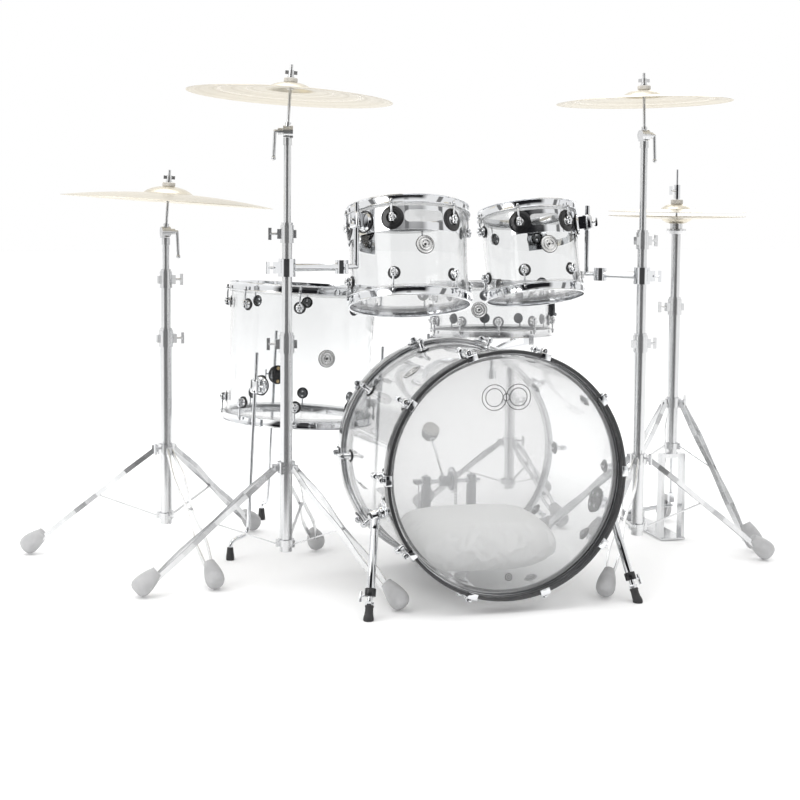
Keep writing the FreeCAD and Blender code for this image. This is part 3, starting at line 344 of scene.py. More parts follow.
def slab(outline, thickness, ease=0.0006, steps=2):
    """An outline in XY made solid, centred on Z = 0, with eased edges."""
    mesh = bmesh.new()
    ring = [mesh.verts.new((p[0], p[1], -thickness / 2)) for p in outline]
    face = mesh.faces.new(ring)
    grown = bmesh.ops.extrude_face_region(mesh, geom=[face])
    lifted = [g for g in grown["geom"] if isinstance(g, bmesh.types.BMVert)]
    bmesh.ops.translate(mesh, verts=lifted, vec=(0, 0, thickness))
    bmesh.ops.recalc_face_normals(mesh, faces=mesh.faces)
    if ease:
        rims = [e for e in mesh.edges if abs(e.verts[0].co.z - e.verts[1].co.z) < 1e-9]
        bmesh.ops.bevel(mesh, geom=rims, offset=ease, segments=steps, affect="EDGES", profile=0.5)
    return from_bmesh(mesh)


def block(size, ease=0.001, steps=2):
    """A box centred on the origin with eased edges."""
    mesh = bmesh.new()
    bmesh.ops.create_cube(mesh, size=1.0)
    for v in mesh.verts:
        v.co = Vector((v.co.x * size[0], v.co.y * size[1], v.co.z * size[2]))
    if ease:
        bmesh.ops.bevel(mesh, geom=mesh.edges[:], offset=min(ease, min(size) * 0.45), segments=steps,
                        affect="EDGES", profile=0.5)
    return from_bmesh(mesh)


def box_between(low, high, ease=0.001):
    low, high = Vector(low), Vector(high)
    return carried(block(high - low, ease), Matrix.Translation((low + high) / 2))


def rounded_rect(width, height, radius):
    w, h = width / 2, height / 2
    corners = [Vector((-w, -h)), Vector((w, -h)), Vector((w, h)), Vector((-w, h))]
    return [(p.x, p.y) for p in rounded(corners, radius, 6)]


def smooth_path(corners, radius, steps=8):
    return rounded(corners, radius, steps, False)


class Shape:
    """Collects mesh parts in several finishes and makes one piece of them."""

    def __init__(self, frame_matrix=UNIT):
        self.base = frame_matrix @ Matrix.Scale(MM, 4)
        self.verts, self.faces, self.finish, self.finishes = [], [], [], []

    def add(self, part, finish, where=UNIT):
        offset = len(self.verts)
        where = self.base @ where
        self.verts += [where @ v for v in part[0]]
        self.faces += [tuple(i + offset for i in face) for face in part[1]]
        if finish not in self.finishes:
            self.finishes.append(finish)
        self.finish += [self.finishes.index(finish)] * len(part[1])
        return self

    def add_all(self, parts, where=UNIT):
        """Adds a list of (mesh, finish)."""
        for mesh, finish in parts:
            self.add(mesh, finish, where)
        return self

    def build(self, name, body, slot, *replaced, home=UNIT, sharp=40.0):
        """Makes the piece; home is the frame its own coordinates are in."""
        mesh = bpy.data.meshes.new(name)
        back = home.inverted()
        mesh.from_pydata([back @ v for v in self.verts], [], self.faces)
        for finish in self.finishes:
            mesh.materials.append(finish)
        mesh.polygons.foreach_set("material_index", self.finish)
        work = bmesh.new()
        work.from_mesh(mesh)
        bmesh.ops.recalc_face_normals(work, faces=work.faces)
        work.to_mesh(mesh)
        work.free()
        mesh.shade_smooth()
        mesh.set_sharp_from_angle(angle=math.radians(sharp))
        piece = linked(name, mesh)
        piece.matrix_world = home
        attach(piece, body)
        if replaced:
            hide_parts(*replaced)
        return piece


def turn_z(degrees):
    return Matrix.Rotation(math.radians(degrees), 4, "Z")


def spread(count, first):
    return [first + 360.0 / count * index for index in range(count)]


BASS = centre("bass_drum_shell")

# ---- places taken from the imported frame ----

JOINT = {joint["name"]: joint for joint in frame["joints"]}
FRONT_FACE_Y = (BASS - Vector((0, 254.8, 312.8)) * MM).y


def pivot(name):
    return Vector(JOINT[name]["pos_m"])


def along(name):
    return Vector(JOINT[name]["axis"])


def leaning(place, lean):
    right, back = lean
    turn = Matrix.Rotation(math.radians(right), 4, "Y") @ Matrix.Rotation(math.radians(-back), 4, "X")
    return Matrix.Translation(place) @ turn


OUTWARD = Matrix.Rotation(math.radians(90), 4, "Y")
UPRIGHT = Matrix.Rotation(math.radians(90), 4, "X")
FLIP = Matrix.Scale(-1, 4, (0, 0, 1))
WALL = 6.0


def at(x, y, z):
    return Matrix.Translation((x, y, z))


# ---- drum hardware, in millimetres ----

def flanged_hoop(radius):
    """A triple-flanged hoop whose bearing plane is Z = 0."""
    corners = [(2.2, -8), (11.8, -8), (11.8, -5.5), (4.7, -5.5), (4.7, 12.6), (9.2, 12.6), (9.2, 15),
               (2.2, 15)]
    outline = rounded([Vector((radius + x, z)) for x, z in corners], 1.3, 3)
    return lathe(outline, 160, True)


def hoop_ear(radius):
    """The ear of a hoop that a tension rod goes through."""
    tip = [(radius + 11 + 6.8 * math.cos(math.radians(a)), 6.8 * math.sin(math.radians(a)))
           for a in range(-80, 81, 16)]
    outline = [(radius + 4.6, -15), (radius + 9, -11)] + tip + [(radius + 9, 11), (radius + 4.6, 15)]
    return carried(slab(outline, 2.5, 0.8), at(0, 0, -6.75))


def tear_outline(radius, length):
    """A round plate drawn out to a point."""
    side = math.degrees(math.acos(radius / length))
    points = [(radius * math.cos(math.radians(a)), radius * math.sin(math.radians(a)))
              for a in [side + (360 - 2 * side) * k / 28 for k in range(29)]]
    return [(length, 0)] + points


def turret_lug(reach):
    """A round lug, out along Z from the shell: list of (mesh, finish)."""
    foot = [(0, 2.1), (11.0, 2.1), (11.0, 3.8), (9.6, 4.9), (8.0, 5.3), (6.4, 7.0), (6.2, reach - 3),
            (0, reach - 3)]
    barrel = [(0, -11.5), (5.2, -11.5), (6.9, -9.8), (6.9, -4.2), (6.4, -3.6), (6.4, 3.6), (6.9, 4.2),
              (6.9, 9.8), (5.2, 11.5), (0, 11.5)]
    cap = [(0, reach + 4), (5.6, reach + 4), (5.6, reach + 7.2), (4.6, reach + 8.4), (2.4, reach + 8.4),
           (1.8, reach + 7.6), (0, reach + 7.6)]
    crosswise = at(0, 0, reach) @ OUTWARD
    return [
        (turned_bar(16.6, 0.1, 2.2, 0.7, 40), BLACK_RUBBER),
        (turned(foot, 0.9, 2, 40), CHROME),
        (carried(turned(barrel, 0.5, 2, 28), crosswise), CHROME),
        (turned(cap, 0.5, 2, 28), CHROME),
    ]


def inner_washer(depth=WALL):
    """The plate and two screws that hold a lug from inside the shell."""
    plate = carried(slab(tear_outline(11.5, 17.0), 1.6, 0.5), at(0, 0, -depth - 0.9))
    screws = [carried(turned_bar(3.6, -2.0, 0, 0.8, 20), at(x, 0, -depth - 1.6)) for x in (-6.0, 6.5)]
    return [(plate, BLACK_METAL)] + [(screw, CHROME) for screw in screws]


def badge_face():
    """A round vent badge with a plain ring pattern."""
    outline = [(0, 0.9), (22.4, 0.9), (22.4, 2.0), (21.6, 2.7), (20.4, 2.7), (19.9, 2.2), (13.9, 2.2),
               (13.5, 2.6), (12.5, 2.6), (12.1, 2.2), (5.6, 2.2), (5.2, 2.8), (3.6, 2.8), (3.2, 1.4),
               (0, 1.4)]
    parts = [(turned(outline, 0.25, 1, 72), BADGE)]
    tick = block((3.6, 1.0, 0.7), 0.2, 1)
    for angle in spread(24, 0):
        parts.append((carried(tick, turn_z(angle) @ at(16.9, 0, 2.2)), BADGE_INK))
    for angle in spread(3, 90):
        parts.append((carried(turned_bar(1.7, 2.0, 2.6, 0.3, 16), turn_z(angle) @ at(8.8, 0, 0)), BADGE_INK))
    parts.append((turned_bar(3.1, 1.3, 1.5, 0.05, 20), BLACK_RUBBER))
    rim = [(22.5, 0.2), (23.9, 0.2), (23.9, 1.3), (22.5, 1.6)]
    parts.append((turned(rim, 0.25, 1, 72, True), BLACK_RUBBER))
    inside = turned(((3.4, -8.6), (8.4, -8.6), (8.4, -6.1), (3.4, -6.1)), 0.6, 2, 32, True)
    return parts + [(inside, BLACK_RUBBER)]


def tension_rod(reach_x, low, flange_top):
    """A tension rod along Z with washers and a square key head."""
    where = at(reach_x, 0, 0)
    parts = [
        (turned_bar(2.7, low, flange_top + 2, 0.3, 16), CHROME),
        (turned_bar(4.7, flange_top + 0.05, flange_top + 1.0, 0.3, 24), BLACK_RUBBER),
        (turned_bar(5.0, flange_top + 1.0, flange_top + 2.4, 0.5, 24), CHROME),
        (carried(block((5.4, 5.4, 7.4), 0.9, 2), at(0, 0, flange_top + 6.0)), CHROME),
    ]
    return [(carried(mesh, where), finish) for mesh, finish in parts]


def pale(parts, swap):
    """The same parts with some finishes exchanged."""
    return [(mesh, swap.get(finish, finish)) for mesh, finish in parts]


def flanged_drum(name, body, diameter, depth, lean, lugs, first, inset, badge_angle, swap, inner=True):
    """Hoops, lugs, rods and badge of one drum."""
    radius, half = diameter * INCH_MM / 2, depth * INCH_MM / 2
    home = leaning(centre(name + "_shell"), lean)
    angles = spread(lugs, first)
    hoops = Shape(home)
    hardware = Shape(home)
    hoop, ear = flanged_hoop(radius), hoop_ear(radius)
    lug = turret_lug(12) + (inner_washer() if inner else [])
    pull = tension_rod(radius + 12, half - inset - 2, half - 5.5)
    for side in (UNIT, FLIP):
        hoops.add(hoop, swap.get(CHROME, CHROME), side @ at(0, 0, half))
        for angle in angles:
            hoops.add(ear, swap.get(CHROME, CHROME), side @ turn_z(angle) @ at(0, 0, half))
            spot = side @ turn_z(angle)
            hardware.add_all(pale(lug, swap), spot @ at(radius, 0, half - inset) @ OUTWARD)
            hardware.add_all(pale(pull, swap), spot)
    hardware.add_all(badge_face(), turn_z(badge_angle) @ at(radius, 0, 0) @ OUTWARD)
    hoops.build(name + "_hoop_pair", body, "chrome", name + "_hoops")
    hardware.build(name + "_lug_set", body, "chrome", name + "_lugs")
    return home, radius, half


def wrapped_disc(cylinder, profile, sides=56):
    """A disc of (distance, height) points laid on a cylinder about Z, its middle on +X."""
    verts, faces = [], []
    for distance, height in profile:
        for k in range(sides):
            turn = 2 * math.pi * k / sides
            angle = distance * math.cos(turn) / cylinder
            reach = cylinder + height
            up = distance * math.sin(turn)
            verts.append(Vector((reach * math.cos(angle), reach * math.sin(angle), up)))
    for row in range(len(profile)):
        low, high = row * sides, ((row + 1) % len(profile)) * sides
        for k in range(sides):
            n = (k + 1) % sides
            faces.append((low + k, low + n, high + n, high + k))
    return verts, faces


LUG_INSET = 44


def tom_mount_trim(name, home, radius, half, mount_angle):
    """Grommet discs round the upper lugs, the big plate disc and the lock rings of the rod."""
    height = half - LUG_INSET
    trim = Shape(home)
    lobe = [(14.2, 0.3), (14.2, 2.0), (16.4, 2.6), (18.6, 1.7), (21.0, 2.3), (23.4, 1.8), (27.6, 1.8),
            (29.6, 1.0), (29.8, 0.2)]
    for step in (-90, -30, 30, 90):
        trim.add(wrapped_disc(radius + 5.2, lobe), GLOSS_BLACK, turn_z(mount_angle + step) @ at(0, 0, height))
    plate = [(0, 11.4), (21.4, 11.4), (23.5, 8), (25.6, 6), (25.6, 4.5), (0, 4.5)]
    ring = [(26.0, 4.2), (29.4, 4.2), (29.4, 6.0), (28.4, 7.2), (26.8, 7.2), (26.0, 6.2)]
    spot = turn_z(mount_angle) @ at(radius, 0, height) @ OUTWARD
    trim.add(turned(plate, 0.8, 2, 48), CHROME, spot)
    trim.add(turned(ring, 0.5, 2, 64, True), GLOSS_BLACK, spot)
    trim.add(carried(block((40, 30, 16), 5, 4), at(0, 0, 37)), CHROME, spot)
    for up in (-17, 17):
        lock_at = turn_z(mount_angle) @ at(radius + 32, 0, height + up)
        trim.add(turned_bar(11.5, -3.5, 3.5, 1.2, 32), CHROME, lock_at)
    wing = rounded_rect(26, 9, 4.4)
    trim.add(carried(slab(wing, 4, 1.4), at(0, 0, 55) @ UPRIGHT), CHROME, spot)
    trim.add(turned_bar(3.6, 44, 56, 0.6, 20), CHROME, spot)
    backing = turned(((0, -6.2), (24, -6.2), (24, -7.8), (0, -7.8)), 0.6, 2, 48)
    below = turn_z(mount_angle) @ at(radius, 0, height - 26) @ OUTWARD
    trim.add(backing, GLOSS_BLACK, below)
    for x in (-9, 9):
        trim.add(turned_bar(4.6, -9.8, -7.6, 1.0, 24), CHROME, below @ at(x, 0, 0))
    trim.build(name + "_mount_trim", name, "chrome")


GHOST = {CHROME: SATIN, BLACK_RUBBER: GREY_LEVER, BLACK_METAL: GREY_LEVER}
FLOOR_LEAN, TOM_LEFT_LEAN, TOM_RIGHT_LEAN, SNARE_LEAN = (3.0, 1.5), (2.0, 15.0), (-1.6, 14.0), (0.0, 3.0)
floor_home, floor_radius, _ = flanged_drum(
    "floor_tom", "kit", 16, 14, FLOOR_LEAN, 8, -104.6, LUG_INSET, -82.0, {})
left_tom = flanged_drum("tom_left", "tom_left", 12, 9, TOM_LEFT_LEAN, 6, 0.0, LUG_INSET, -90.0, {})
right_tom = flanged_drum("tom_right", "tom_right", 10, 8.5, TOM_RIGHT_LEAN, 6, 0.0, LUG_INSET, -88.0, {})
flanged_drum("snare", "snare_drum", 14, 5.5, SNARE_LEAN, 10, -102.0, 34, -120.0, GHOST, False)
tom_mount_trim("tom_left", *left_tom, -150.0)
tom_mount_trim("tom_right", *right_tom, -30.0)

# ---- bass drum ----

BASS_HOME = Matrix.Translation(BASS) @ Matrix.Rotation(math.radians(88), 4, "X")
BASS_RADIUS, BASS_HALF = 11 * INCH_MM, 9 * INCH_MM
HOOP_OUTSIDE, HOOP_WALL, HOOP_WIDTH = 295.0, 8.0, 38.0


def claw():
    """A claw hook with its pad, boss and tension rod; +X away from the drum's axis."""
    low = BASS_HALF - 10
    face = low + HOOP_WIDTH
    hook = [(284.5, face + 0.5), (284.5, face + 3.4), (299.6, face + 3.4), (299.6, low + 8), (295.6, low + 8),
            (295.6, face + 0.5)]
    hook = rounded(hook, 1.8, 3)
    pad = [(284, face + 0.05), (284, face + 0.5), (295.6, face + 0.5), (295.6, low + 7), (295.1, low + 7),
           (295.1, face + 0.05)]
    axis = BASS_RADIUS + 25
    boss = [(0, low + 8), (7.6, low + 8), (7.6, low + 20), (6.2, low + 24), (0, low + 24)]
    rib = box_between((296, -3.2, low + 9), (axis, 3.2, low + 19), 1.0)
    return [
        (carried(slab(hook, 25, 1.2), UPRIGHT), CHROME),
        (carried(slab(pad, 27, 0.15, 1), UPRIGHT), BLACK_RUBBER),
        (carried(turned(boss, 0.8, 2, 28), at(axis, 0, 0)), CHROME),
        (rib, CHROME),
        (carried(turned_bar(2.8, BASS_HALF - 62, low + 9, 0.3, 16), at(axis, 0, 0)), CHROME),
        (carried(turned_bar(5.4, low + 24, low + 25.6, 0.4, 24), at(axis, 0, 0)), BLACK_RUBBER),
        (carried(block((6.6, 6.6, 9), 1.0, 2), at(axis, 0, low + 30)), CHROME),
    ]


def bass_drum():
    low = BASS_HALF - 10
    inner = HOOP_OUTSIDE - HOOP_WALL
    outline = [(inner, low), (HOOP_OUTSIDE, low), (HOOP_OUTSIDE, low + HOOP_WIDTH), (inner, low + HOOP_WIDTH)]
    ring = turned(outline, 1.6, 3, 200, True)
    flesh = [(BASS_RADIUS + 1.6, low - 6), (inner + 2.6, low - 6), (inner + 2.6, low - 0.3),
             (BASS_RADIUS + 1.6, low - 0.3)]
    flesh = turned(flesh, 0.8, 2, 200, True)
    line = [(inner - 2.2, low + 12), (inner - 0.1, low + 12), (inner - 0.1, low + 15),
            (inner - 2.2, low + 15)]
    line = turned(line, 0.5, 2, 200, True)
    front = Shape(BASS_HOME).add(ring, HOOP_DARK).add(line, CHROME)
    rear = Shape(BASS_HOME).add(ring, HOOP_PALE, FLIP).add(line, CHROME, FLIP)
    front.add(flesh, CHROME)
    rear.add(flesh, CHROME, FLIP)
    front.build("bass_front_hoop", "kit", "hoop", "bass_drum_hoops")
    rear.build("bass_rear_hoop", "kit", "hoop", "bass_drum_hoops")
    lugs, claws = Shape(BASS_HOME), Shape(BASS_HOME)
    for side in (UNIT, FLIP):
        for angle in spread(10, 108):
            spot = side @ turn_z(angle)
            lugs.add_all(turret_lug(25) + inner_washer(), spot @ at(BASS_RADIUS, 0, BASS_HALF - 60) @ OUTWARD)
            claws.add_all(claw(), spot)
    lugs.add_all(badge_face(), turn_z(126) @ at(BASS_RADIUS, 0, 0) @ OUTWARD)
    for side in (-1, 1):
        spot = turn_z(90 - side * 108) @ at(BASS_RADIUS, 0, 150) @ OUTWARD
        for outline, finish in (
            ([(0, 0.1), (31, 0.1), (31, 2.2), (0, 2.2)], BLACK_RUBBER),
            ([(0, 2.2), (29, 2.2), (29, 5.5), (24, 8), (17, 9.5), (15, 12), (15, 20.6), (0, 20.6)], CHROME),
            ([(0, -6.2), (33, -6.2), (33, -8.6), (0, -8.6)], GLOSS_BLACK),
        ):
            lugs.add(turned(outline, 1.0, 3, 56), finish, spot)
        for angle in spread(4, 45):
            lugs.add(turned_bar(4.4, -11.0, -8.4, 1.0, 20), CHROME, spot @ turn_z(angle) @ at(20, 0, 0))
        lugs.add(turned_bar(3.9, 20, 46, 0.8, 20), CHROME, spot)
    lugs.build("bass_drum_hardware", "kit", "chrome", "bass_drum_fittings")
    claws.build("bass_drum_claw_set", "kit", "chrome", "bass_drum_claws")


bass_drum()


def spur(side, name):
    """A spur: knuckle and tube on the swinging body, leg and rubber foot on the sliding one."""
    fold = "spur_%s_fold" % name
    start = pivot(fold)
    axis = along(fold) * side
    down = along("spur_%s_extend" % name)
    length = start.z / -down.z
    lock = start + down * length * 0.74
    foot = start + down * length
    swing, leg = Shape(), Shape()
    for low, high, radius, ease, sides, finish in (
        (start - axis * 0.0105, start + axis * 0.0105, 13.6, 1.6, 40, CHROME),
        (start + axis * 0.0104, start + axis * 0.0128, 9.5, 0.6, 32, BLACK_RUBBER),
        (start + axis * 0.0128, start + axis * 0.0170, 6.5, 1.2, 6, CHROME),
        (start + down * 0.008, lock, 9.5, 0.8, 32, CHROME),
        (start + down * 0.010, start + down * 0.034, 11.2, 1.2, 32, CHROME),
        (lock - down * 0.010, lock + down * 0.009, 13.2, 1.8, 36, GLOSS_BLACK),
        (lock + axis * 0.010, lock + axis * 0.024, 3.1, 0.4, 16, CHROME),
        (lock + axis * 0.0245 - down * 0.013, lock + axis * 0.0245 + down * 0.013, 3.6, 1.6, 16, CHROME),
    ):
        swing.add(bar(low * TO_MM, high * TO_MM, radius, ease, sides), finish)
    for low, high, radius, ease, sides in (
        (lock - down * 0.02, foot - down * 0.03, 6.3, 0.6, 28),
        (foot - down * 0.043, foot - down * 0.034, 10.2, 0.8, 6),
    ):
        leg.add(bar(low * TO_MM, high * TO_MM, radius, ease, sides), CHROME)
    boot = [(0, 0), (11.6, 0), (12.4, 2), (12.2, 7), (10.6, 13), (9.6, 22), (9.6, 30), (10.6, 31), (10.6, 34),
            (8.4, 36), (0, 36)]
    boot_mesh = turned(boot, 1.4, 3, 40)
    rise = -down
    lean = Vector((0, 0, 1)).rotation_difference(rise).to_matrix().to_4x4()
    verts = []
    for v in boot_mesh[0]:
        bent = lean @ v
        share = min(max(v.z / 14.0, 0), 1)
        verts.append(v.lerp(bent, share) + foot * TO_MM)
    leg.add((verts, boot_mesh[1]), BLACK_RUBBER)
    swing.build("spur_%s_upper" % name, "spur_" + name, "chrome", "spur_tube_" + name)
    leg.build("spur_%s_lower" % name, "spur_%s_leg" % name, "chrome", "spur_leg_" + name)


spur(-1, "left")
spur(1, "right")


ROD_REACH, BRACKET_DROP = 26, -82


def floor_leg(index, angle, top, twist):
    """A bent floor tom leg with a rubber tip."""
    reach = floor_radius + ROD_REACH
    rod_top = floor_home @ (turn_z(angle) @ Vector((reach, 0, top)) * MM)
    deep = floor_home @ (turn_z(angle) @ Vector((reach, 0, top - 100)) * MM)
    down = (deep - rod_top).normalized()
    knee = rod_top + down * ((0.062 - rod_top.z) / down.z)
    out = turn_z(angle + twist) @ Vector((0.055, 0, 0))
    ankle = knee + out + Vector((0, 0, -0.011))
    sole = Vector((ankle.x, ankle.y, 0.006))
    path = smooth_path([p / MM for p in (rod_top, knee, ankle, sole)], 22, 10)
    leg = Shape().add(tube(path, 5.2, 20), CHROME)
    for step in range(7):
        spot = rod_top + down * (0.03 + 0.004 * step)
        leg.add(bar((spot) / MM, (spot + down * 0.0018) / MM, 5.45, 0.4, 20), CHROME)
    boot = [(0, 0), (10.4, 0), (11, 1.6), (11, 9), (9.4, 20), (8.2, 33), (6.4, 35), (0, 35)]
    leg.add(turned(boot, 1.4, 3, 36), BLACK_RUBBER,
            at(ankle.x / MM, ankle.y / MM, 0))
    leg.build("floor_leg_%d" % index, "floor_tom_leg_%d" % index, "chrome", "floor_tom_leg_%d" % index)


FLOOR_LEGS = ((-133.0, 8.0, -25.0), (-13.0, 28.0, 80.0), (98.0, 46.0, 0.0))
brackets = Shape(floor_home)
for number, (angle, top, twist) in enumerate(FLOOR_LEGS, 1):
    floor_leg(number, angle, top, twist)
    spot = turn_z(angle) @ at(floor_radius, 0, BRACKET_DROP) @ OUTWARD
    dish = [(0, 0.1), (24, 0.1), (24, 2.0), (22.5, 3.6), (18, 4.2), (16.5, 6.0), (0, 6.0)]
    rim = [(20.5, 0.1), (27, 0.1), (27, 1.6), (20.5, 1.6)]
    brackets.add(turned(dish, 0.8, 2, 56), CHROME, spot)
    brackets.add(turned(rim, 0.4, 2, 56, True), BLACK_RUBBER, spot)
    brackets.add(carried(slab(rounded_rect(38, 24, 7), 26, 2.4, 3), at(0, 0, 21)), CHROME, spot)
    for up in (-15, 15):
        brackets.add(turned_bar(9.8, -4, 4, 1.2, 32), CHROME,
                     turn_z(angle) @ at(floor_radius + ROD_REACH, 0, BRACKET_DROP + up))
    wing = slab(rounded_rect(28, 8, 3.9), 4.4, 1.4)
    brackets.add(wing, CHROME, spot @ at(0, 0, 26) @ UPRIGHT @ at(0, 0, -27.5))
    brackets.add(bar((0, 9, 26), (0, 27, 26), 3.6, 0.5, 18), CHROME, spot)
    backing = slab(rounded_rect(56, 27, 13), 2.0, 0.7)
    brackets.add(backing, GLOSS_BLACK, spot @ at(0, 0, -7.4))
    for x in (-19, 19):
        brackets.add(turned_bar(5.4, -11.0, -8.2, 1.2, 24), BRASS, spot @ at(x, 0, 0))
brackets.build("floor_tom_bracket_set", "kit", "chrome", "floor_tom_brackets")

# ---- cymbals ----

def cymbal_parts(radius, bell, bell_height, bow, thick=1.4, hole=7.0, flat=15.0):
    """A cymbal turned about Z: hub at the origin, edge below."""
    drop = bell_height + bow
    upper = [(hole, 0.0), (flat, -0.1)]
    for k in range(1, 15):
        t = k / 14
        upper.append((flat + (bell - flat) * t, -bell_height * (0.25 * t + 0.75 * t ** 2.6)))
    for k in range(1, 25):
        t = k / 24
        upper.append((bell + (radius - bell) * t, -bell_height - bow * (0.30 * t + 0.70 * t ** 1.9)))
    lower = [(r, z - thick * (1 - 0.35 * (r / radius))) for r, z in reversed(upper)]
    rim = [(radius + 0.25, -drop - thick * 0.32)]
    return lathe(upper + rim + lower, 200, True)


def felt_ring(low, high, radius):
    outline = [(7.2, low), (radius, low), (radius, high), (7.2, high)]
    return turned(outline, 2.4, 3, 48, True)


CRASHES = (
    ("ride", 11, 66, 19, 21, (3.7, 0.6)),
    ("middle_crash", 10, 60, 18, 17, (3.6, 1.0)),
    ("right_crash", 9, 58, 17, 16, (-1.2, 1.0)),
)
for name, inches, bell, bell_height, bow, lean in CRASHES:
    home = leaning(pivot(name + "_rock"), lean)
    disc = Shape(home).add(cymbal_parts(inches * INCH_MM, bell, bell_height, bow), CYMBAL)
    disc.add(felt_ring(0.1, 11, 17), FELT).add(felt_ring(-10, -1.5, 17), FELT)
    disc.build(name + "_disc_turned", name + "_disc", "bronze", name + "_cymbal", home=home, sharp=60)

HAT_SEAT, HAT_OPEN = 903.0, 12.0
HAT_HEEL, HAT_TOE = Vector((0, 262, 24)), Vector((0, 34, 89.6))
hat_x = pivot("hihat_footboard_press").x
hat_y = pivot("hihat_footboard_press").y - HAT_HEEL.y * MM
top_home = Matrix.Translation((hat_x, hat_y, (HAT_SEAT + HAT_OPEN + 42) * MM))
low_home = Matrix.Translation((hat_x, hat_y, (HAT_SEAT - 1.4) * MM))
hat = cymbal_parts(7.5 * INCH_MM, 44, 14, 7)
upper_hat = Shape(top_home).add(hat, CYMBAL)
upper_hat.add(felt_ring(0.1, 12.6, 17), FELT).add(felt_ring(-12, -1.5, 14), FELT)
upper_hat.build("hihat_top_turned", "hihat_pull", "bronze", "hihat_top_cymbal", home=top_home, sharp=60)
lower_hat = Shape(low_home).add(hat, CYMBAL, FLIP)
lower_hat.build("hihat_bottom_turned", "kit", "bronze", "hihat_bottom_cymbal", home=low_home, sharp=60)

# ---- stand feet ----

FOOT_OUTLINE = [(0, 0), (13, 0.5), (20, 4.5), (24.4, 12), (25.6, 22), (24.2, 36), (20.5, 52), (16.6, 64),
                (15.2, 66), (15.2, 71), (0, 71)]


def rubber_foot(x, y, turn, reach, rise):
    """A teardrop rubber foot on the end of a tripod leg, flattened where it meets the floor."""
    slope = math.atan2(rise, reach)
    lathed = turned(FOOT_OUTLINE, 1.2, 2, 40)
    lean = Matrix.Rotation(slope - math.radians(90), 4, "Y")
    verts = []
    for v in carried(lathed, lean)[0]:
        v = v + Vector((reach + 27, 0, 15))
        verts.append(Vector((v.x, v.y * 0.92, max(v.z, 0.0))))
    where = Matrix.Translation((x / MM, y / MM, 0)) @ turn_z(turn)
    return carried((verts, lathed[1]), where)


TRIPODS = (
    ("ride_tilt", 0, 362, 162.1, 292), ("middle_crash_tilt", 0, 352, 185.9, 296),
    ("right_crash_tilt", 0, 350, -126.1, 282), ("snare_tilt", 0.006, 262, -75.0, 214),
)
feet = Shape()
for joint, aside, reach, first, rise in TRIPODS:
    middle = pivot(joint)
    for turn in spread(3, first):
        feet.add(rubber_foot(middle.x + aside, middle.y, turn, reach, rise), FOOT_RUBBER)
for turn in spread(3, -51.0):
    feet.add(rubber_foot(hat_x, hat_y, turn, 235, 392), FOOT_RUBBER)
feet.build("tripod_feet", "kit", "rubber", "stand_feet", sharp=50)

# ---- kick pedal, in millimetres of the floor plan ----

PEDAL_HOME = Matrix.Translation((pivot("kick_footboard_press").x, FRONT_FACE_Y, 0))
AXLE_Y, AXLE_Z = 560.0, 205.0
HEEL, TOE = Vector((0, 840, 26)), Vector((0, 540, 117.5))
SPROCKET = 34.0


def gear_outline(radius, teeth):
    """A sprocket's outline with rounded teeth."""
    points = []
    for k in range(teeth * 6):
        wave = math.cos(2 * math.pi * k / 6)
        reach = radius - 1.9 + 1.9 * max(-0.6, min(0.8, wave * 1.3))
        turn = 2 * math.pi * k / (teeth * 6)
        points.append(Vector((reach * math.cos(turn), reach * math.sin(turn))))
    return points


def link_at(place, turn):
    """One chain link lying along Z, before it is turned about X: list of (mesh, finish)."""
    pose = Matrix.Translation(place) @ Matrix.Rotation(turn, 4, "X")
    plates = [carried(block((1.1, 5.2, 9.0), 0.5, 2), pose @ at(side, 0, 0)) for side in (-2.9, 2.9)]
    pin = carried(bar((-3.8, 0, 2.6), (3.8, 0, 2.6), 2.1, 0.3, 12), pose)
    return [(mesh, SATIN) for mesh in plates + [pin]]


